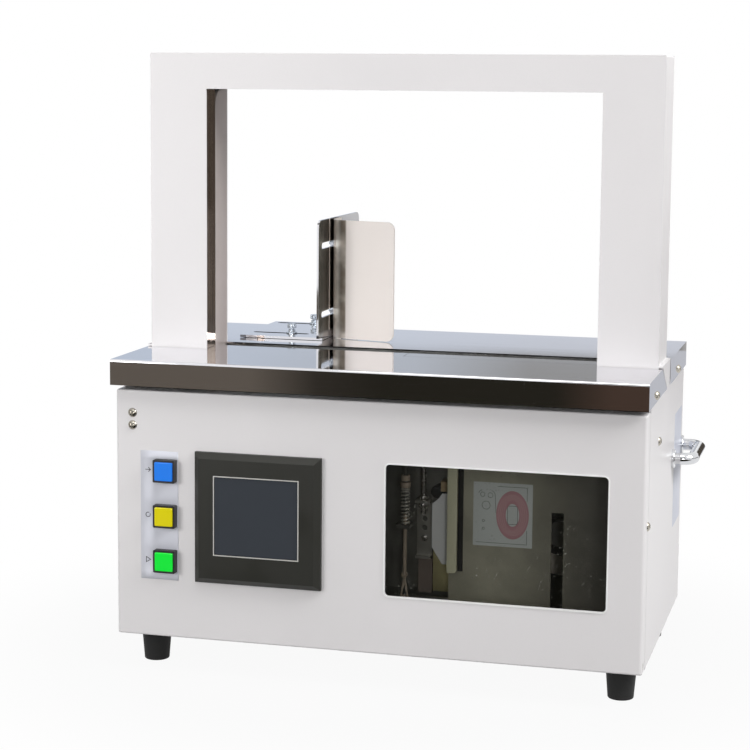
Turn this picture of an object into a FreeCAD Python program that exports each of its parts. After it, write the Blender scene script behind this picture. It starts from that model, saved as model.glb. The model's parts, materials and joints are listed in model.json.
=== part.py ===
"""Banknote strapping machine, in millimetres.

+X is right, +Y is to the back, +Z is up. The front cover faces -Y. The origin lies on the
surface the machine stands on, under the middle of its overall box. A table-top case
carries a mirror-polished table in two halves, an arch that leads the paper tape round the
notes, and a side guide with a back stop. Inside, a main plate splits the case: tape reel,
feed rollers and sealing head in front of it, electrics behind it.
"""
import FreeCAD, Part
import math
import os

V = FreeCAD.Vector

# ---- Driving dimensions: the whole machine --------------------------------------------
table_width = 443.0
table_depth = 269.4
table_height = 263.0
foot_height = 30.0
arch_height = 514.0
arch_depth = 55.0
arch_setback = 86.1          # from the table's front edge to the arch's front face
arch_leg = 50.0
arch_inset = 3.5             # from the table's side edge to the arch's outer side
arch_beam = 30.0
guide_overhang = 20.0        # how far the side guide reaches past the table's rear edge

# ---- Driving dimensions: sheets and gaps ----------------------------------------------
case_sheet = 1.5
arch_sheet = 1.5
table_sheet = 1.2
flange_drop = 21.3           # depth of the table's turned-down edges
fit_gap = 0.3                # between pieces that pass each other
shaft_gap = 0.05             # radial play of a turning shaft
front_overhang = 9.2
rear_overhang = 3.3

# ---- Driving dimensions: tape ---------------------------------------------------------
tape_width = 20.0
slot_width = 22.0            # the gap between the table's two halves
track_width = 30.0

# ---- Derived places shared by many pieces ---------------------------------------------
front = -(table_depth + guide_overhang) / 2
table_rear = front + table_depth
table_half = table_width / 2
table_under = table_height - table_sheet
flange_bottom = table_height - flange_drop
body_half = table_half - table_sheet - fit_gap
body_inner = body_half - case_sheet
body_front = front + front_overhang
body_rear = table_rear - rear_overhang
floor_top = foot_height + case_sheet

arch_front = front + arch_setback
arch_rear = arch_front + arch_depth
arch_half = table_half - arch_inset
arch_inner = arch_half - arch_leg
beam_under = arch_height - arch_beam
track_rear = arch_rear - arch_sheet
track_front = track_rear - track_width
tape_y = (track_front + track_rear) / 2
roll_rear = tape_y + tape_width / 2
roll_front = tape_y - tape_width / 2
arm_y = (roll_front - 9.0, roll_front - 4.0)
slot_front = tape_y - slot_width / 2
slot_rear = tape_y + slot_width / 2
leg_gap = 0.5                # round each arch leg where it passes the table

# ---- Front cover ----------------------------------------------------------------------
cover_gap = 4.7              # from the table's flange down to the cover
cover_top = flange_bottom - cover_gap
cover_return = 16.0          # depth of its side and top returns
cover_seam = 1.2             # between the cover's side return and the side panel
corner_radius = 2.5
edge_radius = 1.5            # along the cover's top and bottom
pivot_inset = 6.0            # hinge pin from the cover's front face and from its bottom
pivot_pin_r = 3.0
bottom_return = 9.5
return_relief = 3.0          # corner taken off each side return, to swing clear of the side panel
hinge_ear_x = -6.0           # the ear's inner face, from the case's outer face
hinge_ear = 2.5
cover_inner = body_front + case_sheet
cover_back = body_front + cover_return
side_front = cover_back + cover_seam
pivot_y = body_front + pivot_inset
pivot_z = foot_height + pivot_inset
tray_front = pivot_y + pivot_inset + 3.0
ear_gap = 1.5                # from a hinge ear to the notch in the cover

window_x = (11.0, 190.5)
window_z = (79.0, 187.0)
window_corner = 3.5
pane_lap = 5.0
pane_thick = 2.0

hmi_x = -96.0
hmi_z = 134.2
hmi_width = 108.0
hmi_height = 109.3
hmi_proud = 8.0
hmi_bevel = 4.8
hmi_lap = 4.5
hmi_depth = 35.0
screen_size = (71.4, 65.0)
screen_z = 137.2
screen_thick = 1.5
screen_sunk = 0.5

button_x = -176.3
button_zs = {"blue": 171.0, "yellow": 133.0, "green": 95.0}
button_bezel = 19.0
button_collar = 6.0
button_cap = 15.6
button_cap_proud = 1.2
button_travel = 3.0
button_hole_r = 8.0
button_stem_r = 3.0
button_corner_r = 1.0
cap_edge_r = 0.6
switch_block = 15.0          # side of the square switch block behind the cover
switch_block_y = (body_front + 12.0, body_front + 30.0)

# ---- Main plate, head and reel --------------------------------------------------------
plate_y = -2.0               # front face of the main plate
plate_thick = 3.0
head_half = 48.5
head_plate = 5.0
head_depth = 51.0
head_front_sheet = 3.0
head_bottom = 66.0
head_top = table_height - 7.0
cam_z = 156.0
cam_base_r = 16.0
cam_lift = 6.0
cam_rise_deg = 120.0
cam_thick = 8.0
shaft_r = 6.0
bearing_r = 14.0
punch_gap = 0.5              # between a cam and the foot of its punch
punch_top = table_height - 13.0
punch_height = 30.0
heater_width = 26.0

reel_x = 138.0
reel_z = 118.0
reel_outer_r = 75.0
reel_core_r = 20.0
reel_flange_r = 45.0
reel_flange = 3.0
reel_pin_r = 6.0

feed_x = 84.0
feed_z = 220.0
feed_r = 15.0
pinch_r = 10.0
pinch_pivot = (112.0, 238.0)

guard_y = -79.4              # rear face of the reel guard
guard_left = 51.5
guard_z = (floor_top + 4.5, cover_top - 3.0)
guard_slot_x = (137.0, 147.0)
guard_slot_z = (56.0, 144.0)

rod_x = 11.0
rod_y = -68.0
rod_r = 1.6
lever_pin_z = 58.0
lever_arm = 50.0
spring_bottom = 123.5
spring_top = 154.5
spring_wire = 0.7
spring_r = 3.4

# ---- Side guide and back stop ---------------------------------------------------------
guide_sheet = 2.2
guide_wall_x = -88.8         # right face of the guide's wall
guide_base_left = -165.0
guide_base_y = (22.6, 128.0)
guide_wall_front = 12.6
guide_top = table_height + 107.0
guide_corner = 7.0
guide_slot_x = (-160.0, -108.0)
guide_slot_ys = (46.1, 119.1)
guide_screw_x = -124.0
guide_screw_r = 2.5
wall_slot_y = (20.6, 95.0)
wall_slot_zs = (table_height + 23.2, table_height + 84.2)
wall_slot_height = 5.5
stop_screw_y = 70.0
stop_screw_r = 2.4
stop_sheet = 2.0
stop_bend_r = 21.0
stop_bend_y = 60.0           # where the flange on the wall passes into the bend
stop_lean = 13.0             # degrees by which the face leans forward of square
stop_face = 47.8             # length of the face, from the bend to its free edge
stop_z = (table_height + 0.6, guide_top - 1.0)

# ---- Handles, feet, electrics ---------------------------------------------------------
handle_ys = (44.0, 114.0)
handle_z = 171.0
handle_r = 5.2
handle_reach = 17.5          # from the side panel to the rod's axis
handle_bend = 10.0
foot_x = 199.0
foot_inset_front = 37.0
foot_inset_rear = 31.0
foot_top_r = 13.0
foot_bottom_r = 10.5
inlet_x = -156.0
inlet_z = 110.0
inlet_size = (27.0, 47.0)


# ---- Helpers --------------------------------------------------------------------------
def block(x0, x1, y0, y1, z0, z1):
    """A box between two corners."""
    return Part.makeBox(x1 - x0, y1 - y0, z1 - z0, V(x0, y0, z0))


def rod_along_x(r, x0, x1, y, z):
    return Part.makeCylinder(r, x1 - x0, V(x0, y, z), V(1, 0, 0))


def rod_along_y(r, x, z, y0, y1):
    return Part.makeCylinder(r, y1 - y0, V(x, y0, z), V(0, 1, 0))


def rod_along_z(r, x, y, z0, z1):
    return Part.makeCylinder(r, z1 - z0, V(x, y, z0), V(0, 0, 1))


def polygon_xz(points, y0, y1):
    """A flat plate in X and Z, given thickness along Y."""
    wire = Part.makePolygon([V(x, y0, z) for x, z in points + points[:1]])
    return Part.Face(wire).extrude(V(0, y1 - y0, 0))


def polygon_yz(points, x0, x1):
    """A flat plate in Y and Z, given thickness along X."""
    wire = Part.makePolygon([V(x0, y, z) for y, z in points + points[:1]])
    return Part.Face(wire).extrude(V(x1 - x0, 0, 0))


def polygon_xy(points, z0, z1):
    """A flat plate in X and Y, given thickness along Z."""
    wire = Part.makePolygon([V(x, y, z0) for x, y in points + points[:1]])
    return Part.Face(wire).extrude(V(0, 0, z1 - z0))


def parallel_edges(shape, axis, keep=None):
    """The straight edges along one axis, with an optional test of their middle point."""
    found = []
    for edge in shape.Edges:
        if len(edge.Vertexes) != 2:
            continue
        run = edge.Vertexes[1].Point - edge.Vertexes[0].Point
        if run.Length > 0 and abs(run.dot(axis)) > 0.999 * run.Length:
            middle = (edge.Vertexes[1].Point + edge.Vertexes[0].Point) / 2
            if keep is None or keep(middle):
                found.append(edge)
    return found


def soften(shape, radius, axis, keep=None):
    """Round the edges that run along one axis."""
    return shape.makeFillet(radius, parallel_edges(shape, axis, keep))


AX, AY, AZ = V(1, 0, 0), V(0, 1, 0), V(0, 0, 1)


def bar_xz(start, end, half_width, y0, y1):
    """A flat bar with round ends between two points (x, z)."""
    run = V(end[0] - start[0], 0, end[1] - start[1])
    side = V(-run.z, 0, run.x).normalize() * half_width
    corners = [V(start[0], y0, start[1]) + side, V(end[0], y0, end[1]) + side,
               V(end[0], y0, end[1]) - side, V(start[0], y0, start[1]) - side]
    body = Part.Face(Part.makePolygon(corners + corners[:1])).extrude(V(0, y1 - y0, 0))
    for x, z in (start, end):
        body = body.fuse(rod_along_y(half_width, x, z, y0, y1))
    return body.removeSplitter()


def slot_along_y_in_x_plate(y0, y1, z, height, x0, x1):
    """A long hole along Y through a plate that faces X."""
    r = height / 2
    hole = block(x0, x1, y0 + r, y1 - r, z - r, z + r)
    hole = hole.fuse(rod_along_x(r, x0, x1, y0 + r, z))
    return hole.fuse(rod_along_x(r, x0, x1, y1 - r, z))


def slot_along_x_in_z_plate(x0, x1, y, width, z0, z1):
    """A long hole along X through a plate that faces Z."""
    r = width / 2
    hole = block(x0 + r, x1 - r, y - r, y + r, z0, z1)
    hole = hole.fuse(rod_along_z(r, x0 + r, y, z0, z1))
    return hole.fuse(rod_along_z(r, x1 - r, y, z0, z1))


# ---- Screws ---------------------------------------------------------------------------
screw_head_r = 3.9
screw_head_high = 2.4
screw_shank_r = 2.0
screw_length = 6.0
screw_hole_gap = 0.1
cross_width = 1.0
cross_depth = 0.9


def dome_screw(point, outward):
    """A pan-head cross-recess screw; point is on the face it clamps."""
    ball_r = (screw_head_r ** 2 + screw_head_high ** 2) / (2 * screw_head_high)
    head = Part.makeSphere(ball_r, V(0, 0, screw_head_high - ball_r))
    head = head.common(Part.makeCylinder(screw_head_r, screw_head_high))
    for turn in (0, 90):
        groove = Part.makeBox(screw_head_r, cross_width, cross_depth,
                              V(-screw_head_r / 2, -cross_width / 2, screw_head_high - cross_depth))
        groove.rotate(V(0, 0, 0), AZ, turn)
        head = head.cut(groove)
    shank = Part.makeCylinder(screw_shank_r, screw_length, V(0, 0, -screw_length))
    screw = head.fuse(shank).removeSplitter()
    screw.Placement = FreeCAD.Placement(point, FreeCAD.Rotation(AZ, outward))
    return screw


def screw_hole(point, outward):
    """The clearance hole of a screw."""
    start = point - outward * (screw_length + fit_gap)
    return Part.makeCylinder(screw_shank_r + screw_hole_gap, 2 * screw_length, start, outward)


tab_screw_ys = (front + 51.3, front + 206.3)
tab_screw_z = flange_bottom + 5.0
side_screw_yz = (arch_front - 0.8, 204.0)
rear_screw_xs = (-190.0, 0.0, 190.0)
rear_screw_zs = (foot_height + 8.0, cover_top - 5.0)
arch_screw_zs = (table_height + 23.0, table_height + 123.0, arch_height - 15.0)
catch_screw_x = -205.5
catch_screw_zs = (207.7, 218.0)
stay_screw_yz = (body_front + 13.1, 147.0)

tab_screws = [(V(side * table_half, y, tab_screw_z), V(side, 0, 0)) for side in (-1, 1) for y in tab_screw_ys]
side_screws = [(V(side * body_half, *side_screw_yz), V(side, 0, 0)) for side in (-1, 1)]
rear_screws = [(V(x, body_rear, z), V(0, 1, 0)) for x in rear_screw_xs for z in rear_screw_zs]
arch_screws = [(V(side * (arch_inner + arch_leg / 2), arch_rear, z), V(0, 1, 0))
               for side in (-1, 1) for z in arch_screw_zs]
cover_front_screws = [(V(catch_screw_x, body_front, z), V(0, -1, 0)) for z in catch_screw_zs]
stay_screws = [(V(side * body_half, *stay_screw_yz), V(side, 0, 0)) for side in (-1, 1)]


def drilled(shape, screws):
    for point, outward in screws:
        shape = shape.cut(screw_hole(point, outward))
    return shape


# ---- Case -----------------------------------------------------------------------------
foot_ys = (body_front + foot_inset_front, body_rear - foot_inset_rear)
tray_flange = 15.0
foot_stud_r = 3.0
foot_stud = 9.0              # how far a foot's stud reaches into the case
foot_edge_r = 1.2
tray_vents = 6
tray_vent_x = (40.0, 120.0)
tray_vent_y = 30.0
tray_vent_pitch = 12.0
vent_width = 4.0


def base_tray():
    """A folded tray that carries everything, with holes for the feet and floor vents."""
    rear = body_rear - case_sheet
    tray = block(-body_inner, body_inner, tray_front, rear, foot_height, foot_height + tray_flange)
    tray = tray.cut(block(-body_inner + case_sheet, body_inner - case_sheet,
                          tray_front + case_sheet, rear - case_sheet,
                          floor_top, foot_height + 2 * tray_flange))
    for x in (-foot_x, foot_x):
        for y in foot_ys:
            tray = tray.cut(rod_along_z(foot_stud_r + fit_gap, x, y, foot_height - 1, floor_top + 1))
    for row in range(tray_vents):
        y = tray_vent_y + row * tray_vent_pitch
        tray = tray.cut(slot_along_x_in_z_plate(tray_vent_x[0], tray_vent_x[1], y, vent_width,
                                                foot_height - 1, floor_top + 1))
    return drilled(tray, rear_screws)


def rubber_feet():
    """Four tapered rubber feet, each with a stud moulded in."""
    feet = []
    for x in (-foot_x, foot_x):
        for y in foot_ys:
            foot = Part.makeCone(foot_bottom_r, foot_top_r, foot_height, V(x, y, 0))
            foot = foot.makeFillet(foot_edge_r, [e for e in foot.Edges if e.BoundBox.ZMax < 0.1])
            foot = foot.fuse(rod_along_z(foot_stud_r, x, y, foot_height - 1, foot_height + foot_stud))
            feet.append(foot.removeSplitter())
    return feet


panel_flange = 12.0


def side_panel(side):
    """One side of the case, with a turned-in flange under the table."""
    panel = block(body_inner, body_half, side_front, body_rear, foot_height, table_under)
    flange = block(body_inner - panel_flange, body_inner, side_front, body_rear - case_sheet - fit_gap,
                   table_under - case_sheet, table_under)
    flange = flange.cut(block(0, table_half, arch_front - 1, arch_rear + 1, 0, arch_height))
    panel = panel.fuse(flange).removeSplitter()
    if side < 0:
        panel = panel.mirror(V(0, 0, 0), AX)
    panel = drilled(panel, tab_screws + side_screws)
    for y in handle_ys:
        panel = panel.cut(rod_along_x(handle_stud_r + screw_hole_gap, -table_half, table_half, y, handle_z))
    return panel


rear_vents = 7
rear_vent_x = (60.0, 140.0)
rear_vent_z = 156.0
rear_vent_pitch = 9.0


def rear_panel():
    """The back of the case, with vents and the cut-out of the mains inlet."""
    half = body_inner - fit_gap
    top = table_under - case_sheet - fit_gap
    panel = block(-half, half, body_rear - case_sheet, body_rear, foot_height, top)
    panel = drilled(panel, rear_screws)
    width, height = inlet_size
    panel = panel.cut(block(inlet_x - width / 2 - fit_gap, inlet_x + width / 2 + fit_gap,
                            body_rear - 10, body_rear + 10,
                            inlet_z - height / 2 - fit_gap, inlet_z + height / 2 + fit_gap))
    for row in range(rear_vents):
        z = rear_vent_z + row * rear_vent_pitch
        panel = panel.cut(block(rear_vent_x[0], rear_vent_x[1], body_rear - 10, body_rear + 10,
                                z, z + vent_width))
    return panel


handle_stud_r = 2.5
handle_stud = 8.0
ferrule_r = 8.2
ferrule_high = 2.5
ferrule_edge_r = 0.8


def side_handles():
    """Two bent rods with flanged feet, one on each side of the case."""
    near, far = handle_ys
    axis_x = body_half + handle_reach
    bend = handle_bend
    mid = bend * (1 - math.sqrt(0.5))
    points = [V(body_half, near, handle_z), V(axis_x - bend, near, handle_z),
              V(axis_x, near + bend, handle_z), V(axis_x, far - bend, handle_z),
              V(axis_x - bend, far, handle_z), V(body_half, far, handle_z)]
    path = Part.Wire([
        Part.makeLine(points[0], points[1]),
        Part.Arc(points[1], V(axis_x - mid, near + mid, handle_z), points[2]).toShape(),
        Part.makeLine(points[2], points[3]),
        Part.Arc(points[3], V(axis_x - mid, far - mid, handle_z), points[4]).toShape(),
        Part.makeLine(points[4], points[5])])
    profile = Part.Wire([Part.makeCircle(handle_r, points[0], AX)])
    handle = path.makePipeShell([profile], True, False)
    for y in handle_ys:
        foot = rod_along_x(ferrule_r, body_half, body_half + ferrule_high, y, handle_z)
        foot = foot.makeFillet(ferrule_edge_r, [e for e in foot.Edges if e.BoundBox.XMin > body_half + 0.1
                                                and e.Length > ferrule_r])
        stud = rod_along_x(handle_stud_r, body_half - handle_stud, body_half + 1, y, handle_z)
        handle = handle.fuse([foot, stud])
    handle = handle.removeSplitter()
    return [handle, handle.mirror(V(0, 0, 0), AX)]


# ---- Table ----------------------------------------------------------------------------
table_bend_r = 1.8
strip_left = 4.0
strip_depth = 20.0
strip_gap = 0.4
strip_lip = 6.0
tongue_rise = 0.8            # gap between a table tab and the arch's tongue
tongue_foot = (arch_rear - 20.0, arch_rear - 5.0)
rear_tab_top = arch_rear + 1.5
rear_tab_foot = arch_rear + 5.0


def front_table():
    """Front half of the table: a plate with a front flange and two side tabs."""
    plate = block(-table_half, table_half, front, slot_front, table_under, table_height)
    flange = block(-table_half, table_half, front, front + table_sheet, flange_bottom, table_height)
    body = plate.fuse(flange)
    tab_points = [(front, flange_bottom), (front, table_height), (arch_front - tongue_rise, table_height),
                  (tongue_foot[0] - tongue_rise, flange_bottom)]
    for side in (-1, 1):
        inner = side * (table_half - table_sheet)
        outer = side * table_half
        body = body.fuse(polygon_yz(tab_points, min(inner, outer), max(inner, outer)))
    body = body.removeSplitter()
    for side in (-1, 1):
        notch_in, notch_out = sorted((side * (arch_inner - leg_gap), side * (table_half - table_sheet)))
        body = body.cut(block(notch_in, notch_out, arch_front - leg_gap, arch_rear,
                              table_under - 1, table_height + 1))
        rim_in, rim_out = sorted((side * (table_half - table_sheet), side * (table_half + 1)))
        body = body.cut(block(rim_in, rim_out, arch_front - leg_gap, arch_rear,
                              table_under - 0.01, table_height + 1))
    body = body.cut(block(strip_left - strip_gap, arch_inner - leg_gap, slot_front - strip_depth - strip_gap,
                          slot_front + 1, table_under - 1, table_height + 1))
    top_front = [e for e in parallel_edges(body, AX)
                 if e.BoundBox.ZMin > table_height - 0.1 and e.BoundBox.YMax < front + 0.1]
    body = body.makeFillet(table_bend_r, top_front)
    return drilled(body, tab_screws)


def rear_table():
    """Rear half of the table, with a rear flange, side tabs and holes for the guide."""
    body = block(-table_half, table_half, slot_rear, table_rear, table_under, table_height)
    body = body.fuse(block(-table_half, table_half, table_rear - table_sheet, table_rear,
                           flange_bottom, table_height))
    tab_points = [(rear_tab_top, table_height), (table_rear, table_height), (table_rear, flange_bottom),
                  (rear_tab_foot, flange_bottom)]
    for side in (-1, 1):
        inner, outer = sorted((side * (table_half - table_sheet), side * table_half))
        body = body.fuse(polygon_yz(tab_points, inner, outer))
    body = body.removeSplitter()
    for side in (-1, 1):
        notch_in, notch_out = sorted((side * (arch_inner - leg_gap), side * (table_half + 1)))
        body = body.cut(block(notch_in, notch_out, slot_rear - 1, arch_rear + leg_gap,
                              table_under - 1, table_height + 1))
    top_rear = [e for e in parallel_edges(body, AX)
                if e.BoundBox.ZMin > table_height - 0.1 and e.BoundBox.YMin > table_rear - 0.1]
    body = body.makeFillet(table_bend_r, top_rear)
    for y in guide_slot_ys:
        body = body.cut(rod_along_z(guide_screw_r + shaft_gap, guide_screw_x, y,
                                    table_under - 1, table_height + 1))
    return drilled(body, tab_screws)


def slot_strip():
    """A loose strip of the table's sheet, level with it, beside the tape slot."""
    right = arch_inner - leg_gap - strip_gap
    top = block(strip_left, right, slot_front - strip_depth, slot_front, table_under, table_height)
    lip = block(strip_left, right, slot_front - table_sheet, slot_front, table_height - strip_lip, table_height)
    return top.fuse(lip).removeSplitter()


# ---- Arch -----------------------------------------------------------------------------
leg_sunk = flange_bottom - 1.0
leg_outer = min(arch_half, body_inner - fit_gap)   # of the part of a leg inside the case
leg_foot = table_height + leg_gap
arch_corner_r = 1.4


def u_frame(outer_half, top, inner_half, under, y0, y1, bottom):
    """An upside-down U plate in X and Z."""
    outer = block(-outer_half, outer_half, y0, y1, bottom, top)
    return outer.cut(block(-inner_half, inner_half, y0 - 1, y1 + 1, bottom - 1, under))


def arch_shell():
    """Front face, outer sides and top of the arch, with a stepped tongue on each side."""
    face = u_frame(arch_half, arch_height, arch_inner, beam_under, arch_front,
                   arch_front + arch_sheet, leg_foot)
    rim = u_frame(arch_half, arch_height, arch_half - arch_sheet, arch_height - arch_sheet,
                  arch_front, track_rear, leg_foot)
    body = face.fuse(rim)
    for side in (-1, 1):
        x0, x1 = sorted((side * arch_inner, side * leg_outer))
        body = body.fuse(block(x0, x1, arch_front, arch_front + arch_sheet, leg_sunk, leg_foot + arch_sheet))
        x0, x1 = sorted((side * (arch_half - arch_sheet), side * table_half))
        body = body.fuse(block(x0, x1, arch_front, track_rear, leg_foot, leg_foot + arch_sheet))
        x0, x1 = sorted((side * body_half, side * table_half))
        tongue = [(arch_front, leg_foot + arch_sheet), (track_rear, leg_foot + arch_sheet),
                  (tongue_foot[1], flange_bottom), (tongue_foot[0], flange_bottom)]
        body = body.fuse(polygon_yz(tongue, x0, x1))
    body = body.removeSplitter()
    corners = [e for e in parallel_edges(body, AY)
               if e.BoundBox.ZMin > arch_height - 0.1 and abs(e.BoundBox.XMax) > arch_half - 0.1]
    return body.makeFillet(arch_corner_r, corners)


def arch_rear_cover():
    """The flat plate that closes the arch from behind."""
    cover = u_frame(arch_half, arch_height, arch_inner, beam_under, track_rear, arch_rear, leg_foot)
    for side in (-1, 1):
        x0, x1 = sorted((side * arch_inner, side * leg_outer))
        cover = cover.fuse(block(x0, x1, track_rear, arch_rear, leg_sunk, leg_foot + arch_sheet))
    return drilled(cover.removeSplitter(), arch_screws)


liner_gap = 0.8


def arch_liner():
    """Polished strip on the front half of the arch's inner faces."""
    y0, y1 = arch_front + arch_sheet, track_front - liner_gap
    outer = block(-arch_inner - table_sheet, arch_inner + table_sheet, y0, y1,
                  leg_sunk, beam_under + table_sheet)
    return outer.cut(block(-arch_inner, arch_inner, y0 - 1, y1 + 1, leg_sunk - 1, beam_under))


strip_thick = 2.0
strip_corner_r = 15.0


def track_strips():
    """Two upright strips and one along the beam that close the tape track."""
    strips = []
    top = beam_under - strip_gap
    for side in (-1, 1):
        x0, x1 = sorted((side * arch_inner, side * (arch_inner + strip_thick)))
        strip = block(x0, x1, track_front, track_rear, leg_sunk, top)
        strip = soften(strip, strip_corner_r, AX, lambda p: p.z > top - 1 and p.y < tape_y)
        strips.append(strip)
    strips.append(block(-arch_inner, arch_inner, track_front, track_rear, beam_under, beam_under + strip_thick))
    return strips


# ---- Front cover and what it carries --------------------------------------------------
def front_cover():
    """The front of the case: a shallow folded pan that swings down on two pins."""
    body = block(-body_half, body_half, body_front, cover_back, foot_height, cover_top)
    body = soften(body, corner_radius, AZ, lambda p: p.y < body_front + 0.1)
    body = soften(body, edge_radius, AX, lambda p: p.y < body_front + 0.1)
    body = body.cut(block(-body_inner, body_inner, cover_inner, cover_back + 1,
                          floor_top, cover_top - case_sheet))
    body = body.cut(block(-body_inner, body_inner, body_front + bottom_return, cover_back + 1,
                          foot_height - 1, floor_top + 1))
    relief = [(cover_back - return_relief, foot_height - 1), (cover_back + 1, foot_height - 1),
              (cover_back + 1, foot_height + return_relief + 1)]
    body = body.cut(polygon_yz(relief, -table_half, table_half))
    ear_in = body_half + hinge_ear_x - ear_gap
    for side in (-1, 1):
        x0, x1 = sorted((side * ear_in, side * body_inner))
        body = body.cut(block(x0, x1, cover_inner, cover_back + 1, foot_height - 1, floor_top + 0.01))
    body = body.cut(rod_along_x(pivot_pin_r + shaft_gap, -table_half, table_half, pivot_y, pivot_z))
    window = block(window_x[0], window_x[1], body_front - 1, cover_inner + 1, window_z[0], window_z[1])
    body = body.cut(soften(window, window_corner, AY))
    hole_x = hmi_width / 2 - hmi_lap + fit_gap
    hole_z = hmi_height / 2 - hmi_lap + fit_gap
    body = body.cut(block(hmi_x - hole_x, hmi_x + hole_x, body_front - 1, cover_inner + 1,
                          hmi_z - hole_z, hmi_z + hole_z))
    for z in button_zs.values():
        body = body.cut(rod_along_y(button_hole_r, button_x, z, body_front - 1, cover_inner + 1))
    return drilled(body, cover_front_screws + stay_screws)


def window_pane():
    """Smoked plastic pane fixed behind the window."""
    pane = block(window_x[0] - pane_lap, window_x[1] + pane_lap, cover_inner, cover_inner + pane_thick,
                 window_z[0] - pane_lap, window_z[1] + pane_lap)
    return soften(pane, window_corner, AY)


def hmi_case():
    """Touch panel: a bevelled bezel in front of the cover and its electronics box behind."""
    half_x, half_z = hmi_width / 2, hmi_height / 2
    bezel = block(hmi_x - half_x, hmi_x + half_x, body_front - hmi_proud, body_front,
                  hmi_z - half_z, hmi_z + half_z)
    rim = [e for e in bezel.Edges if e.BoundBox.YMax < body_front - hmi_proud + 0.1]
    bezel = bezel.makeChamfer(hmi_bevel, rim)
    box_x, box_z = half_x - hmi_lap, half_z - hmi_lap
    box = block(hmi_x - box_x, hmi_x + box_x, body_front, body_front + hmi_depth,
                hmi_z - box_z, hmi_z + box_z)
    body = bezel.fuse(box).removeSplitter()
    width, height = screen_size
    y = body_front - hmi_proud
    return body.cut(block(hmi_x - width / 2, hmi_x + width / 2, y - 1, y + screen_sunk + screen_thick,
                          screen_z - height / 2, screen_z + height / 2))


def hmi_screen():
    """The glass of the touch panel, let into the bezel."""
    width, height = (size - 2 * fit_gap for size in screen_size)
    y = body_front - hmi_proud + screen_sunk
    return block(hmi_x - width / 2, hmi_x + width / 2, y, y + screen_thick,
                 screen_z - height / 2, screen_z + height / 2)


cap_front = body_front - button_collar - button_cap_proud
cap_thick = 3.4
cavity_floor = cap_front + cap_thick + button_travel + fit_gap
stem_back = body_front + 14.0


def button_housings():
    """Three square collars with their switch blocks behind the cover."""
    housings = []
    half = button_bezel / 2
    room = button_cap / 2 + fit_gap / 2
    block_half = switch_block / 2
    for z in button_zs.values():
        body = block(button_x - half, button_x + half, body_front - button_collar, body_front,
                     z - half, z + half)
        body = soften(body, button_corner_r, AY)
        neck = rod_along_y(button_hole_r - fit_gap, button_x, z, body_front - 1, switch_block_y[0] + 1)
        switch = block(button_x - block_half, button_x + block_half, switch_block_y[0], switch_block_y[1],
                       z - block_half, z + block_half)
        body = body.fuse([neck, switch])
        body = body.cut(block(button_x - room, button_x + room, body_front - button_collar - 1, cavity_floor,
                              z - room, z + room))
        body = body.cut(rod_along_y(button_stem_r + shaft_gap, button_x, z, cavity_floor - 1,
                                    stem_back + button_travel + 1))
        housings.append(body.removeSplitter())
    return housings


def button(colour):
    """One square push button with its stem."""
    z = button_zs[colour]
    half = button_cap / 2
    cap = block(button_x - half, button_x + half, cap_front, cap_front + cap_thick, z - half, z + half)
    cap = soften(cap, button_corner_r, AY)
    rim = [e for e in cap.Edges if e.BoundBox.YMax < cap_front + 0.1]
    cap = cap.makeFillet(cap_edge_r, rim)
    stem = rod_along_y(button_stem_r, button_x, z, cap_front + cap_thick - 1, stem_back)
    return cap.fuse(stem).removeSplitter()


catch_x = (-body_inner + fit_gap, -206.0)
catch_z = (206.0, 220.0)
catch_foot_x = (-212.0, -199.0)
catch_foot_z = (202.0, 224.0)
striker_y = side_front + 1.3
magnet_depth = 20.0


def catch_bracket():
    """Inner bracket on the cover whose striker plate meets the magnet."""
    foot = block(catch_foot_x[0], catch_foot_x[1], cover_inner, cover_inner + case_sheet,
                 catch_foot_z[0], catch_foot_z[1])
    arm = block(catch_foot_x[0], catch_foot_x[0] + case_sheet, cover_inner, striker_y, catch_z[0], catch_z[1])
    striker = block(catch_x[0], catch_x[1], striker_y - case_sheet, striker_y, catch_z[0], catch_z[1])
    return drilled(foot.fuse([arm, striker]).removeSplitter(), cover_front_screws)


def magnet_catch():
    """Magnet block on the left side panel that holds the cover shut."""
    return block(-body_inner, catch_x[1], striker_y + fit_gap, striker_y + magnet_depth, catch_z[0], catch_z[1])


ear_half = 4.0
ear_foot = 12.0
ear_foot_rise = 8.0


def cover_hinges():
    """Two ears on the tray, each with the pin that the cover turns on."""
    hinges = []
    inner = body_half + hinge_ear_x
    ear = rod_along_x(ear_half, inner, inner + hinge_ear, pivot_y, pivot_z)
    ear = ear.fuse(block(inner, inner + hinge_ear, pivot_y, tray_front, pivot_z - ear_half, pivot_z + ear_half))
    ear = ear.fuse(block(inner - ear_foot, inner + hinge_ear, tray_front - case_sheet, tray_front,
                         pivot_z - ear_half, pivot_z + ear_foot_rise))
    ear = ear.fuse(rod_along_x(pivot_pin_r, inner, body_half - 0.2, pivot_y, pivot_z)).removeSplitter()
    return [ear, ear.mirror(V(0, 0, 0), AX)]


# ---- Main plate and its posts ---------------------------------------------------------
plate_foot = 18.0            # depth of the main plate's foot
feed_bore_r = 8.0
cable_hole = (-120.0, 66.0)
cable_hole_r = 14.0
post_r = 5.0
guard_posts_at = [(70.0, 42.0), (205.0, 42.0), (205.0, 218.0), (60.0, 212.0)]
lever_pivot = (rod_x + lever_arm, lever_pin_z)
post_pin_r = 4.0
post_cap_r = 6.0
post_cap = 2.0
lever_post_tip = rod_y - 3.0
pinch_post_tip = arm_y[0] - 2.9
lever_front_y = rod_y + 1.4
lever_sheet = 2.5


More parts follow.
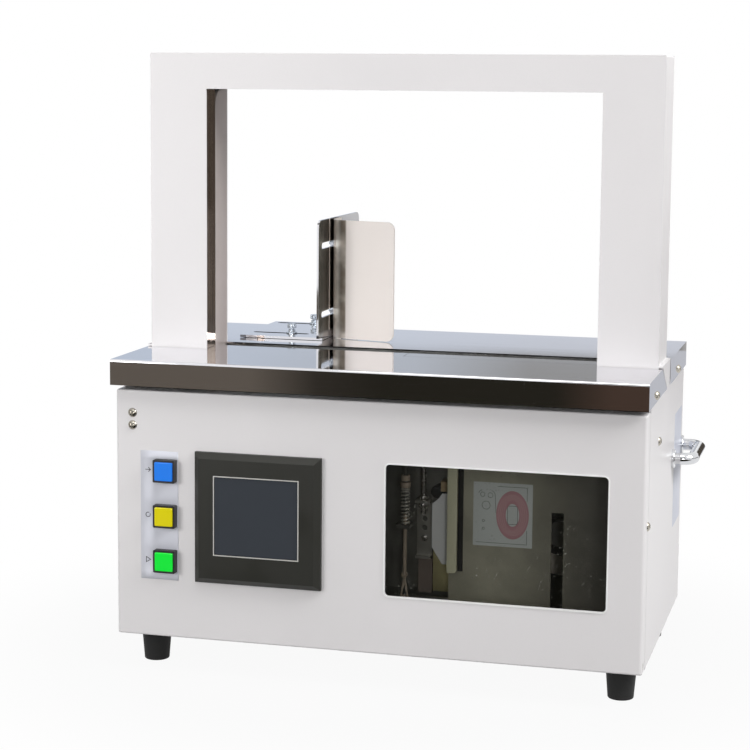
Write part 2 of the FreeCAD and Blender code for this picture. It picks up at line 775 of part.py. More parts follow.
def main_plate():
    """Upright steel plate across the case; the mechanism hangs on its front."""
    half = body_inner - case_sheet - fit_gap
    plate = block(-half, half, plate_y, plate_y + plate_thick, floor_top, table_under)
    foot = block(-half, half, plate_y, plate_y + plate_foot, floor_top, floor_top + plate_thick)
    plate = plate.fuse(foot).removeSplitter()
    corner_x = body_inner - panel_flange - fit_gap
    for side in (-1, 1):
        x0, x1 = sorted((side * corner_x, side * table_half))
        plate = plate.cut(block(x0, x1, plate_y - 1, plate_y + plate_thick + 1,
                                table_under - case_sheet - fit_gap, table_height))
    plate = plate.cut(rod_along_y(feed_bore_r, feed_x, feed_z, plate_y - 1, plate_y + plate_thick + 1))
    return plate.cut(rod_along_y(cable_hole_r, cable_hole[0], cable_hole[1],
                                 plate_y - 1, plate_y + plate_thick + 1))


def plate_posts():
    """Turned posts riveted to the main plate: four for the reel guard, two pivots."""
    posts = [rod_along_y(post_r, x, z, guard_y, plate_y) for x, z in guard_posts_at]
    for (x, z), tip in ((lever_pivot, lever_post_tip), (pinch_pivot, pinch_post_tip)):
        pin = rod_along_y(post_pin_r, x, z, tip, plate_y)
        posts.append(pin.fuse(rod_along_y(post_cap_r, x, z, tip - post_cap, tip)).removeSplitter())
    return posts


guard_right = body_inner - 3.0


def reel_guard():
    """Zinc-plated plate in front of the reel, with a slot that shows the tape left."""
    guard = block(guard_left, guard_right, guard_y - case_sheet, guard_y, guard_z[0], guard_z[1])
    return guard.cut(block(guard_slot_x[0], guard_slot_x[1], guard_y - 5, guard_y + 1,
                           guard_slot_z[0], guard_slot_z[1]))


guard_strip_x = (guard_left - 1.0, guard_left + 7.3)
guard_strip_z = (88.5, 221.0)
guard_strip_thick = 3.0
guard_strip_corner = 3.0


def guard_strip():
    """Stiffening strip along the guard's left edge, with its lower right corner rounded."""
    face = guard_y - case_sheet
    strip = block(guard_strip_x[0], guard_strip_x[1], face - guard_strip_thick, face,
                  guard_strip_z[0], guard_strip_z[1])
    return soften(strip, guard_strip_corner, AY, lambda p: p.z < guard_strip_z[0] + 1 and p.x > guard_left)


# ---- Reel and brake -------------------------------------------------------------------
hub_front = roll_front - 6.0
brake_gap = 0.4
pad_r = 5.0
pad_angle = math.radians(150.0)
shaft_nose = 8.0
shoulder_r = 9.0
knob_r = 12.0
knob_edge_r = 1.5


def reel_shaft():
    """Fixed shaft of the reel, with a shoulder behind and a knob in front."""
    nose = hub_front - shaft_nose
    shaft = rod_along_y(reel_pin_r, reel_x, reel_z, nose, plate_y)
    shoulder = rod_along_y(shoulder_r, reel_x, reel_z, roll_rear + reel_flange + fit_gap, plate_y)
    knob = rod_along_y(knob_r, reel_x, reel_z, nose, hub_front - fit_gap)
    knob = knob.makeFillet(knob_edge_r, [e for e in knob.Edges if e.BoundBox.YMax < nose + 0.1])
    return shaft.fuse([shoulder, knob]).removeSplitter()


def reel_hub():
    """Core of the reel with its rear flange."""
    hub = rod_along_y(reel_core_r - fit_gap, reel_x, reel_z, hub_front, roll_rear)
    hub = hub.fuse(rod_along_y(reel_flange_r, reel_x, reel_z, roll_rear, roll_rear + reel_flange))
    hub = hub.cut(rod_along_y(reel_pin_r + shaft_gap, reel_x, reel_z, hub_front - 1, plate_y))
    return hub.removeSplitter()


def tape_roll():
    """A roll of paper tape on the hub."""
    roll = rod_along_y(reel_outer_r, reel_x, reel_z, roll_front, roll_rear)
    return roll.cut(rod_along_y(reel_core_r, reel_x, reel_z, roll_front - 1, roll_rear + 1))


sleeve_r = 7.0
front_arm_half = 4.5
rear_arm_half = 3.5
rod_pin_r = 1.5
pin_slot_half = 1.85         # half the height of the slot that the rod's pin rides in
pin_slot_run = 1.2


def brake_lever():
    """Lever on a long sleeve: front arm to the pull rod, rear arm to the reel's rim."""
    x, z = lever_pivot
    rear0, rear1 = roll_rear + 0.5, roll_rear + reel_flange
    front0, front1 = lever_front_y, lever_front_y + lever_sheet
    reach = reel_flange_r + brake_gap + pad_r
    pad = (reel_x + reach * math.cos(pad_angle), reel_z + reach * math.sin(pad_angle))
    body = rod_along_y(sleeve_r, x, z, rod_y - 2.5, rear1)
    body = body.fuse(bar_xz((x, z), (rod_x, lever_pin_z), front_arm_half, front0, front1))
    body = body.fuse(bar_xz((x, z), pad, rear_arm_half, rear0, rear1))
    body = body.fuse(rod_along_y(pad_r, pad[0], pad[1], rear0, rear1))
    body = body.cut(rod_along_y(post_pin_r + shaft_gap, x, z, rod_y - 3, plate_y))
    slot = block(rod_x - pin_slot_run, rod_x + pin_slot_run, front0 - 1, front1 + 1,
                 lever_pin_z - pin_slot_half, lever_pin_z + pin_slot_half)
    for dx in (-pin_slot_run, pin_slot_run):
        slot = slot.fuse(rod_along_y(pin_slot_half, rod_x + dx, lever_pin_z, front0 - 1, front1 + 1))
    return body.cut(slot).removeSplitter()


rod_top = 182.0
nut_rs = (4.6, 3.9)
nut_zs = ((spring_top + 0.8, spring_top + 5.0), (spring_top + 6.5, spring_top + 11.0))
eye_z = 80.3
eye_r = 2.6
yoke_half = 4.6
yoke_foot = lever_pin_z - 3.0
yoke_y = (rod_y - 1.2, rod_y + 1.0)


def pull_rod():
    """Rod with two knurled nuts above, an eye and a yoke below, and the yoke's pin."""
    rod = rod_along_z(rod_r, rod_x, rod_y, eye_z, rod_top)
    nuts = [rod_along_z(r, rod_x, rod_y, low, high) for r, (low, high) in zip(nut_rs, nut_zs)]
    eye = rod_along_y(eye_r, rod_x, eye_z, yoke_y[0], rod_y + 1.2)
    yoke = polygon_xz([(rod_x, eye_z + 2), (rod_x + yoke_half, yoke_foot), (rod_x - yoke_half, yoke_foot)],
                      yoke_y[0], yoke_y[1])
    yoke = yoke.cut(polygon_xz([(rod_x, eye_z - 7), (rod_x + 2, lever_pin_z + 5), (rod_x - 2, lever_pin_z + 5)],
                               rod_y - 2, rod_y + 2))
    pin = rod_along_y(rod_pin_r, rod_x, lever_pin_z, yoke_y[0], lever_front_y + lever_sheet + 1.5)
    return rod.fuse(nuts + [eye, yoke, pin]).removeSplitter()


spring_turns = 9.0


def tension_spring():
    """Round-wire spring between the head's tab and the lower nut."""
    height = spring_top - spring_bottom - 2 * spring_wire
    helix = Part.makeHelix(height / spring_turns, height, spring_r)
    profile = Part.Wire([Part.makeCircle(spring_wire, V(spring_r, 0, 0), AY)])
    spring = Part.Wire(helix.Edges).makePipeShell([profile], True, True)
    spring.translate(V(rod_x, rod_y, spring_bottom + spring_wire + 0.05))
    return spring


# ---- Feed -----------------------------------------------------------------------------
feed_shaft_r = 3.0
pinch_axis = (feed_x - (feed_r + pinch_r + fit_gap) * math.sqrt(0.5),
              feed_z + (feed_r + pinch_r + fit_gap) * math.sqrt(0.5))
motor_size = 42.0
motor_depth = 40.0
motor_corner_r = 4.0
motor_boss_r = 7.0
feed_shaft_rear = plate_y + plate_thick + 20.0


def feed_motor():
    """Square step motor behind the main plate."""
    y0 = plate_y + plate_thick
    half = motor_size / 2
    motor = block(feed_x - half, feed_x + half, y0, y0 + motor_depth, feed_z - half, feed_z + half)
    motor = soften(motor, motor_corner_r, AY)
    motor = motor.fuse(rod_along_y(motor_boss_r, feed_x, feed_z, plate_y, y0 + 1))
    return motor.cut(rod_along_y(feed_shaft_r + shaft_gap, feed_x, feed_z,
                                 plate_y - 1, feed_shaft_rear + 1)).removeSplitter()


def feed_roller():
    """Rubber-faced feed roller with its shaft."""
    roller = rod_along_y(feed_r, feed_x, feed_z, roll_front, roll_rear)
    shaft = rod_along_y(feed_shaft_r, feed_x, feed_z, roll_front - 3, feed_shaft_rear)
    return roller.fuse(shaft).removeSplitter()


arm_half = 7.0


def pinch_arm():
    """Sprung arm that carries the pinch roller's axle."""
    arm = bar_xz(pinch_pivot, pinch_axis, arm_half, arm_y[0], arm_y[1])
    axle = rod_along_y(feed_shaft_r, pinch_axis[0], pinch_axis[1], arm_y[1] - 1, roll_rear + 1)
    arm = arm.fuse(axle)
    return arm.cut(rod_along_y(post_pin_r + shaft_gap, pinch_pivot[0], pinch_pivot[1],
                               arm_y[0] - 1, arm_y[1] + 1)).removeSplitter()


def pinch_roller():
    """Free roller that presses the tape on the feed roller."""
    roller = rod_along_y(pinch_r, pinch_axis[0], pinch_axis[1], roll_front, roll_rear)
    return roller.cut(rod_along_y(feed_shaft_r + shaft_gap, pinch_axis[0], pinch_axis[1],
                                  roll_front - 1, roll_rear + 1))


# ---- Sealing head ---------------------------------------------------------------------
head_y = (plate_y - head_depth, plate_y)
cam_y = (head_y[0] + head_y[1]) / 2
head_inner = head_half - head_plate
gearbox_length = 32.0
clamp_x0 = heater_width / 2 + 1.0
clamp_x1 = head_inner - fit_gap
clamp_mid = (clamp_x0 + clamp_x1) / 2
bearing_press = 0.02         # how much smaller a bearing is than its seat
shaft_in_gearbox = 8.0
shaft_nose_right = 3.5


def head_side_plates():
    """Left and right plates of the head, bored for the camshaft's bearings."""
    plates = []
    for side in (-1, 1):
        x0, x1 = sorted((side * head_inner, side * head_half))
        plate = block(x0, x1, head_y[0], head_y[1], head_bottom, head_top)
        plates.append(plate.cut(rod_along_x(bearing_r, x0 - 1, x1 + 1, cam_y, cam_z)))
    return plates


def head_front_plate():
    """Front plate that ties the side plates, with the tab that the pull rod passes."""
    y0 = head_y[0] - head_front_sheet
    plate = block(-head_half, head_half, y0, head_y[0], head_bottom, head_top)
    tab = block(rod_x - 7, rod_x + 4.5, rod_y - 4.5, y0 + 1, spring_bottom - 3, spring_bottom)
    plate = plate.fuse(tab).removeSplitter()
    return plate.cut(rod_along_z(rod_r + fit_gap, rod_x, rod_y, spring_bottom - 10, spring_bottom + 10))


def shaft_bearings():
    """Two bearings of the camshaft."""
    rings = []
    for side in (-1, 1):
        x0, x1 = sorted((side * head_inner, side * head_half))
        ring = rod_along_x(bearing_r - bearing_press, x0, x1, cam_y, cam_z)
        rings.append(ring.cut(rod_along_x(shaft_r + shaft_gap, x0 - 1, x1 + 1, cam_y, cam_z)))
    return rings


def camshaft():
    """Shaft of the head's cams, driven from its left end."""
    return rod_along_x(shaft_r, -head_half - gearbox_length + shaft_in_gearbox,
                       head_half + shaft_nose_right, cam_y, cam_z)


cam_hold_deg = 180.0
cam_fall_deg = 300.0
cam_points = 90


def cam_radius(angle):
    """Cam profile in degrees: an even rise, a dwell, an even fall and a dwell."""
    if angle <= cam_rise_deg:
        return cam_base_r + cam_lift * angle / cam_rise_deg
    if angle <= cam_hold_deg:
        return cam_base_r + cam_lift
    if angle <= cam_fall_deg:
        return cam_base_r + cam_lift * (cam_fall_deg - angle) / (cam_fall_deg - cam_hold_deg)
    return cam_base_r


def lifting_cams():
    """Three alike cams, one under each punch."""
    cams = []
    for x in (-clamp_mid, 0.0, clamp_mid):
        points = []
        for step in range(cam_points):
            angle = step * 360.0 / cam_points
            r, turn = cam_radius(angle), math.radians(angle)
            points.append((cam_y + r * math.sin(turn), cam_z + r * math.cos(turn)))
        cam = polygon_yz(points, x - cam_thick / 2, x + cam_thick / 2)
        cams.append(cam.cut(rod_along_x(shaft_r + bearing_press, x - cam_thick, x + cam_thick, cam_y, cam_z)))
    return cams


stem_half = 5.0
blade_thick = 0.6
blade_rise = 3.0             # how far the blade stands above its punch
blade_drop = 20.0
blade_y = (tape_y - tape_width / 2 - 0.2, tape_y + tape_width / 2 - 3.0)


def punch(x0, x1):
    """One lifting punch: a block guided by the head's plates, and a stem to its cam."""
    x = (x0 + x1) / 2
    body = block(x0, x1, head_y[0] + fit_gap, head_y[1] - fit_gap, punch_top - punch_height, punch_top)
    stem = block(x - stem_half, x + stem_half, cam_y - stem_half, cam_y + stem_half,
                 cam_z + cam_base_r + punch_gap, punch_top - punch_height + 1)
    return body.fuse(stem).removeSplitter()


def tape_clamps():
    """Left and right punches that clamp the tape's ends."""
    return [punch(-clamp_x1, -clamp_x0), punch(clamp_x0, clamp_x1)]


def heater_head():
    """Middle punch that presses and heat-seals the tape."""
    return punch(-heater_width / 2, heater_width / 2)


def cutter_blade():
    """Thin blade on the right face of the middle punch."""
    x = heater_width / 2
    return block(x, x + blade_thick, blade_y[0], blade_y[1], punch_top - blade_drop, punch_top + blade_rise)


gearbox_half = 25.0
gearbox_corner_r = 3.0
can_r = 23.0
can_length = 68.0
motor_cap_r = 20.0
motor_cap = 8.0


def main_motor():
    """Gear motor on the head's left plate; the camshaft enters its gearbox."""
    x1 = -head_half
    x0 = x1 - gearbox_length
    gearbox = block(x0, x1, cam_y - gearbox_half, cam_y + gearbox_half,
                    cam_z - gearbox_half, cam_z + gearbox_half)
    gearbox = soften(gearbox, gearbox_corner_r, AX)
    can = rod_along_x(can_r, x0 - can_length, x0 + 1, cam_y, cam_z)
    cap = rod_along_x(motor_cap_r, x0 - can_length - motor_cap, x0 - can_length + 1, cam_y, cam_z)
    motor = gearbox.fuse([can, cap])
    bore = rod_along_x(shaft_r + shaft_gap, x0 + shaft_in_gearbox - 0.5, x1 + 1, cam_y, cam_z)
    return motor.cut(bore).removeSplitter()


bracket_x = (19.0, 32.0)
bracket_z = (94.0, 144.0)
bracket_sheet = 2.0
bracket_hole_zs = (119.3, 127.0, 134.7)
bracket_hole_r = 2.4
stud_y = -62.5
stud_r = 2.5
stud_z = (bracket_z[1] - 12.0, 191.0)
hex_r = 4.6
hex_high = 4.0


def adjuster_bracket():
    """Perforated angle bracket on the head's front plate."""
    y1 = head_y[0] - head_front_sheet
    x_mid = (bracket_x[0] + bracket_x[1]) / 2
    body = block(bracket_x[0], bracket_x[1], y1 - bracket_sheet, y1, bracket_z[0], bracket_z[1])
    top = block(bracket_x[0], bracket_x[1], stud_y - 5, y1, bracket_z[1] - bracket_sheet, bracket_z[1])
    foot = block(bracket_x[0], bracket_x[1], y1 - 8, y1, bracket_z[0], bracket_z[0] + bracket_sheet)
    body = body.fuse([top, foot]).removeSplitter()
    for z in bracket_hole_zs:
        body = body.cut(rod_along_y(bracket_hole_r, x_mid, z, y1 - 5, y1 + 1))
    return body.cut(rod_along_z(stud_r + screw_hole_gap, x_mid, stud_y, bracket_z[1] - 5, bracket_z[1] + 1))


def adjuster_stud():
    """Threaded stud through the bracket, with a hexagon nut above and below."""
    x = (bracket_x[0] + bracket_x[1]) / 2
    body = rod_along_z(stud_r, x, stud_y, stud_z[0], stud_z[1])
    corners = [(x + hex_r * math.cos(math.radians(60 * i)), stud_y + hex_r * math.sin(math.radians(60 * i)))
               for i in range(6)]
    for z0 in (bracket_z[1], bracket_z[1] - bracket_sheet - hex_high):
        body = body.fuse(polygon_xy(corners, z0, z0 + hex_high))
    return body.removeSplitter()


# ---- Side guide and back stop ---------------------------------------------------------
guide_low = table_height + fit_gap


def side_guide():
    """Bent plate: a slotted base on the table and an upright wall with two slots."""
    wall_left = guide_wall_x - guide_sheet
    base = block(guide_base_left, guide_wall_x, guide_base_y[0], guide_base_y[1],
                 guide_low, guide_low + guide_sheet)
    wall = block(wall_left, guide_wall_x, guide_wall_front, table_rear + guide_overhang,
                 guide_low + guide_sheet, guide_top)
    wall = soften(wall, guide_corner, AX, lambda p: p.z > guide_top - 1)
    root = block(wall_left, guide_wall_x, guide_base_y[0], guide_base_y[1],
                 guide_low, guide_low + 2 * guide_sheet)
    body = base.fuse([wall, root]).removeSplitter()
    for y in guide_slot_ys:
        body = body.cut(slot_along_x_in_z_plate(guide_slot_x[0], guide_slot_x[1], y,
                                                2 * (guide_screw_r + fit_gap), guide_low - 1, guide_low + 10))
    for z in wall_slot_zs:
        body = body.cut(slot_along_y_in_x_plate(wall_slot_y[0], wall_slot_y[1], z, wall_slot_height,
                                                wall_left - 1, guide_wall_x + 1))
    return body


guide_screw_below = 1.2      # how far a thumb screw shows under the table
washer_r = 5.0
washer_high = 1.0
collar_r = 3.4
collar_high = 2.4
thumb_r = 4.2
thumb_z = (4.6, 8.6)         # the thumb knob, from the washer's underside
thumb_edge_r = 0.7


def guide_screw(y):
    """Thumb screw that clamps the guide's base to the table."""
    washer_z = guide_low + guide_sheet + fit_gap
    body = rod_along_z(guide_screw_r, guide_screw_x, y, table_under - guide_screw_below, washer_z + 8)
    washer = rod_along_z(washer_r, guide_screw_x, y, washer_z, washer_z + washer_high)
    collar_z = washer_z + washer_high
    collar = rod_along_z(collar_r, guide_screw_x, y, collar_z, collar_z + collar_high)
    knob = rod_along_z(thumb_r, guide_screw_x, y, washer_z + thumb_z[0], washer_z + thumb_z[1])
    knob = knob.makeFillet(thumb_edge_r, [e for e in knob.Edges if e.Length > 10])
    return body.fuse([washer, collar, knob]).removeSplitter()


stop_left = guide_wall_x + fit_gap
stop_head_r = 4.4
stop_head_high = 2.6
stop_head_edge_r = 1.6
stop_nut_high = 3.2
stop_flange_lap = 6.0        # the flange reaches this far past its screws


def back_stop():
    """Bent plate: the upright face, a large bend at its left and a flange behind, on the wall."""
    r_out, r_in = stop_bend_r, stop_bend_r - stop_sheet
    cx, cy = stop_left + r_out, stop_bend_y
    low, high = stop_z
    flange = block(stop_left, stop_left + stop_sheet, cy, stop_screw_y + stop_flange_lap, low, high)
    bend = Part.makeCylinder(r_out, high - low, V(cx, cy, low), AZ, 90.0 - stop_lean)
    bend = bend.cut(rod_along_z(r_in, cx, cy, low - 1, high + 1))
    bend.rotate(V(cx, cy, 0), AZ, 180.0)
    face = block(cx, cx + stop_face, cy - r_out, cy - r_in, low, high)
    face = soften(face, guide_corner, AY, lambda p: p.x > cx + stop_face - 1)
    face.rotate(V(cx, cy, 0), AZ, -stop_lean)
    body = flange.fuse([bend, face]).removeSplitter()
    for z in wall_slot_zs:
        body = body.cut(rod_along_x(stop_screw_r + 0.05, stop_left - 1, stop_left + 5, stop_screw_y, z))
    return body


def back_stop_screws():
    """Two screws through the wall's slots, with nuts on the far side."""
    screws = []
    head_x = stop_left + stop_sheet
    nut_x = guide_wall_x - guide_sheet - fit_gap
    for z in wall_slot_zs:
        body = rod_along_x(stop_screw_r, nut_x - stop_nut_high - 1.3, head_x + 1, stop_screw_y, z)
        head = rod_along_x(stop_head_r, head_x, head_x + stop_head_high, stop_screw_y, z)
        head = head.makeFillet(stop_head_edge_r, [e for e in head.Edges
                                                  if e.BoundBox.XMin > head_x + stop_head_high - 0.1
                                                  and e.Length > 10])
        corners = [(stop_screw_y + stop_head_r * math.cos(math.radians(60 * i)),
                    z + stop_head_r * math.sin(math.radians(60 * i))) for i in range(6)]
        nut = polygon_yz(corners, nut_x - stop_nut_high, nut_x)
        screws.append(body.fuse([head, nut]).removeSplitter())
    return screws


# ---- Electrics ------------------------------------------------------------------------
switch_z = inlet_z + 11.0
switch_y = body_rear - 4.0
switch_tilt = 8.0
switch_pin_r = 1.2
rocker_half = 6.2
socket_z = inlet_z - 8.0
socket_half = (11.0, 7.5)
switch_hole_half = (6.5, 9.8)
inlet_depth = 24.0
inlet_flange = 2.0
inlet_corner_r = 3.0
contact_half = (1.0, 2.0)
contacts = ((-7.0, -1.0), (0.0, 2.0), (7.0, -1.0))


def power_inlet():
    """Mains inlet and the frame of the power switch in one housing."""
    half_x, half_z = inlet_size[0] / 2, inlet_size[1] / 2
    body = block(inlet_x - half_x, inlet_x + half_x, body_rear - inlet_depth, body_rear + 1,
                 inlet_z - half_z, inlet_z + half_z)
    rim_x, rim_z = half_x + inlet_flange, half_z + inlet_flange
    flange = block(inlet_x - rim_x, inlet_x + rim_x, body_rear, body_rear + inlet_flange,
                   inlet_z - rim_z, inlet_z + rim_z)
    body = body.fuse(soften(flange, inlet_corner_r, AY)).removeSplitter()
    for (wide, high), z, deep in ((socket_half, socket_z, 18.0), (switch_hole_half, switch_z, 16.0)):
        body = body.cut(block(inlet_x - wide, inlet_x + wide, body_rear - deep, body_rear + 5,
                              z - high, z + high))
    for dx, dz in contacts:
        x, z = inlet_x + dx, socket_z + dz
        body = body.fuse(block(x - contact_half[0], x + contact_half[0], body_rear - 20, body_rear - 7,
                               z - contact_half[1], z + contact_half[1]))
    pins = rod_along_x(switch_pin_r + shaft_gap, inlet_x - 8, inlet_x + 8, switch_y, switch_z)
    return body.cut(pins).removeSplitter()


def power_switch():
    """Rocker of the power switch on its two pivot stubs, tilted to ON."""
    profile = [(switch_y - 3, switch_z - 6), (switch_y - 3, switch_z + 6), (switch_y + 6.5, switch_z + 8.6),
               (switch_y + 4.0, switch_z), (switch_y + 6.5, switch_z - 8.6)]
    rocker = polygon_yz(profile, inlet_x - rocker_half, inlet_x + rocker_half)
    reach = rocker_half + 1.6
    pins = rod_along_x(switch_pin_r, inlet_x - reach, inlet_x + reach, switch_y, switch_z)
    rocker = rocker.fuse(pins).removeSplitter()
    rocker.rotate(V(inlet_x, switch_y, switch_z), AX, switch_tilt)
    return rocker


supply_x = (-75.0, 25.0)
supply_y = (40.0, 105.0)
supply_high = 42.0
supply_edge_r = 1.5


def power_supply():
    """Switched supply in a folded cage on the tray."""
    body = block(supply_x[0], supply_x[1], supply_y[0], supply_y[1], floor_top, floor_top + supply_high)
    return soften(body, supply_edge_r, AX)


board_x = (-200.0, -85.0)
board_z = (126.0, 211.0)
board_thick = 1.6
standoff = 8.0
standoff_r = 3.0
standoff_inset = 6.0
board_parts = (              # left edge, lower edge, width, height and depth of each part
    (-180.0, 156.0, 22.0, 22.0, 4.0),
    (-145.0, 151.0, 30.0, 14.0, 6.0),
    (-110.0, 171.0, 14.0, 26.0, 18.0),
    (-150.0, 191.0, 60.0, 8.0, 10.0))


def control_board():
    """Circuit board on four stand-offs behind the main plate, with its largest parts."""
    y0 = plate_y + plate_thick
    y1 = y0 + standoff
    board = block(board_x[0], board_x[1], y1, y1 + board_thick, board_z[0], board_z[1])
    for x in (board_x[0] + standoff_inset, board_x[1] - standoff_inset):
        for z in (board_z[0] + standoff_inset, board_z[1] - standoff_inset):
            board = board.fuse(rod_along_y(standoff_r, x, z, y0, y1 + 0.5))
    for x, z, width, height, depth in board_parts:
        board = board.fuse(block(x, x + width, y1 + 1, y1 + 1 + depth, z, z + height))
    return board.removeSplitter()


# ---- All nodes ------------------------------------------------------------------------
def screws_at(places):
    return [dome_screw(point, outward) for point, outward in places]


def nodes():
    """Every node of the machine with its solid or list of solids."""
    return {
        "base_tray": base_tray(),
        "rubber_feet": rubber_feet(),
        "left_side_panel": side_panel(-1),
        "right_side_panel": side_panel(1),
        "rear_panel": rear_panel(),
        "side_handles": side_handles(),
        "case_screws": screws_at(tab_screws + side_screws + rear_screws + arch_screws),
        "front_table": front_table(),
        "rear_table": rear_table(),
        "slot_strip": slot_strip(),
        "arch_shell": arch_shell(),
        "arch_rear_cover": arch_rear_cover(),
        "arch_liner": arch_liner(),
        "track_strips": track_strips(),
        "front_cover": front_cover(),
        "window_pane": window_pane(),
        "hmi_case": hmi_case(),
        "hmi_screen": hmi_screen(),
        "button_housings": button_housings(),
        "button_blue": button("blue"),
        "button_yellow": button("yellow"),
        "button_green": button("green"),
        "catch_bracket": catch_bracket(),
        "cover_screws": screws_at(cover_front_screws + stay_screws),
        "magnet_catch": magnet_catch(),
        "cover_hinges": cover_hinges(),
        "main_plate": main_plate(),
        "plate_posts": plate_posts(),
        "reel_guard": reel_guard(),
        "guard_strip": guard_strip(),
        "reel_shaft": reel_shaft(),
        "reel_hub": reel_hub(),
        "tape_roll": tape_roll(),
        "brake_lever": brake_lever(),
        "pull_rod": pull_rod(),
        "tension_spring": tension_spring(),
        "feed_motor": feed_motor(),
        "feed_roller": feed_roller(),
        "pinch_arm": pinch_arm(),
        "pinch_roller": pinch_roller(),
        "head_side_plates": head_side_plates(),
        "head_front_plate": head_front_plate(),
        "shaft_bearings": shaft_bearings(),
        "camshaft": camshaft(),
        "lifting_cams": lifting_cams(),
        "tape_clamps": tape_clamps(),
        "heater_head": heater_head(),
        "cutter_blade": cutter_blade(),
        "main_motor": main_motor(),
        "adjuster_bracket": adjuster_bracket(),
        "adjuster_stud": adjuster_stud(),
        "side_guide": side_guide(),
        "guide_screw_front": guide_screw(guide_slot_ys[0]),
        "guide_screw_rear": guide_screw(guide_slot_ys[1]),
        "back_stop": back_stop(),
        "back_stop_screws": back_stop_screws(),
        "power_inlet": power_inlet(),
        "power_switch": power_switch(),
        "power_supply": power_supply(),
        "control_board": control_board(),
    }


os.makedirs("parts", exist_ok=True)
for name, made in nodes().items():
    shape = Part.makeCompound(made) if isinstance(made, list) else made
    shape.exportStep(os.path.join("parts", name + ".step"))
    print(name, len(shape.Solids), "solids", "valid" if shape.isValid() else "NOT VALID")
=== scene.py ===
# %% [markdown]
# A banknote strapping machine, dressed for its picture. The construction comes from a
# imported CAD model: every sheet, screw, roller and lever is already there, at its real
# size, in metres, with +Z up and the front cover facing -Y. This lesson adds what CAD
# leaves out: the camera, the finishes, the small pieces that only matter to the eye,
# such as screw threads, knurled knobs, films and labels, and last the studio.

import json
import math

import bmesh
import bpy
import numpy as np
from mathutils import Matrix, Vector


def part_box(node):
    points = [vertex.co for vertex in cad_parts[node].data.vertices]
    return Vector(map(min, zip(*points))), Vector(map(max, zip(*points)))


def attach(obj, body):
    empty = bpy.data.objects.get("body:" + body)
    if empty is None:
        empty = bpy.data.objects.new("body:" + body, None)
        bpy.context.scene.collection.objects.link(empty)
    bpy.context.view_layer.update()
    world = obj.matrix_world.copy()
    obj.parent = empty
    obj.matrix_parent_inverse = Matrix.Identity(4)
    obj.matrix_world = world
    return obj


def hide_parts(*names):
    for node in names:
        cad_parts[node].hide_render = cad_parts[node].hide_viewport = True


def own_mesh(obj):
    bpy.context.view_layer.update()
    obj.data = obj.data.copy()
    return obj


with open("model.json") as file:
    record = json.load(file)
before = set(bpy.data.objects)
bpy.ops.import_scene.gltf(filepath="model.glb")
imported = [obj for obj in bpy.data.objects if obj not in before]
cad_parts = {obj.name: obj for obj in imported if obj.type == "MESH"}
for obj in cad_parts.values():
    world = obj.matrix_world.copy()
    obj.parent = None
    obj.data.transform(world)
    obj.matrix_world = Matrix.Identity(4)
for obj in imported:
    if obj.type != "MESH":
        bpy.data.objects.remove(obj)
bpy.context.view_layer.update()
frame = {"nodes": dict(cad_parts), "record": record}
nodes = frame["nodes"]
mm = 0.001

# %% [markdown]
# The camera stands a little to the right of the machine and above its table, as someone
# would stand to load it. A long lens keeps upright edges nearly parallel. Three turns
# aim it: its own roll first, then the tilt from looking straight down, then the yaw.

# %% The camera
camera_place = Vector((399.9, -1655.1, 491.6)) * mm
camera_yaw = math.radians(14.703)
camera_pitch = math.radians(7.130)
camera_roll = math.radians(0.504)
lens = 95.48
sensor = 36.0
picture_shift = -0.06

camera_data = bpy.data.cameras.new("studio_camera")
camera_data.sensor_width = sensor
camera_data.lens = lens
camera_data.shift_y = picture_shift
camera = bpy.data.objects.new("studio_camera", camera_data)
yaw, tilt, roll = (Matrix.Rotation(angle, 4, axis) for angle, axis in (
    (camera_yaw, "Z"), (math.pi / 2 - camera_pitch, "X"), (camera_roll, "Z")))
camera.matrix_world = Matrix.Translation(camera_place) @ yaw @ tilt @ roll
bpy.context.scene.collection.objects.link(camera)
bpy.context.scene.camera = camera
bpy.context.scene.view_settings.view_transform = "Standard"
print("camera at", tuple(round(v, 3) for v in camera_place), "lens", lens)

# %% [markdown]
# Most new pieces are surfaces: a grid of points worked out by numpy and joined into
# quads. The grid can be closed round one way, as a tube is, and points that fall together
# are merged, which closes the poles. Objects stay at the origin, so that patterns read
# from object coordinates line up with the real machine.

# %% A grid becomes a piece
weld = 1e-7
smooth_below = math.radians(35)


def finish_mesh(mesh):
    """Merge doubled points, turn faces outwards, and shade smooth up to an angle."""
    made = bmesh.new()
    made.from_mesh(mesh)
    bmesh.ops.remove_doubles(made, verts=made.verts, dist=weld)
    bmesh.ops.dissolve_degenerate(made, dist=weld, edges=made.edges)
    bmesh.ops.recalc_face_normals(made, faces=made.faces)
    made.to_mesh(mesh)
    made.free()
    mesh.shade_smooth()
    mesh.set_sharp_from_angle(angle=smooth_below)


def new_piece(name, points, faces):
    """An object at the origin from a list of points and a list of faces."""
    mesh = bpy.data.meshes.new(name)
    mesh.from_pydata(points, [], faces)
    finish_mesh(mesh)
    piece = bpy.data.objects.new(name, mesh)
    bpy.context.scene.collection.objects.link(piece)
    return piece


def grid_faces(rows, columns, wrap_rows=False, wrap_columns=False):
    """Quads of a grid of points, as an array of four corner numbers each."""
    r = np.arange(rows if wrap_rows else rows - 1)
    c = np.arange(columns if wrap_columns else columns - 1)
    r, c = (a.ravel() for a in np.meshgrid(r, c, indexing="ij"))
    r2, c2 = (r + 1) % rows, (c + 1) % columns
    corners = [r * columns + c, r2 * columns + c, r2 * columns + c2, r * columns + c2]
    return np.stack(corners, axis=1)


def surface(name, points, wrap_rows=False, wrap_columns=False):
    """One piece from an array of points, rows by columns by three, in metres."""
    faces = grid_faces(*points.shape[:2], wrap_rows, wrap_columns)
    return new_piece(name, points.reshape(-1, 3).tolist(), faces.tolist())


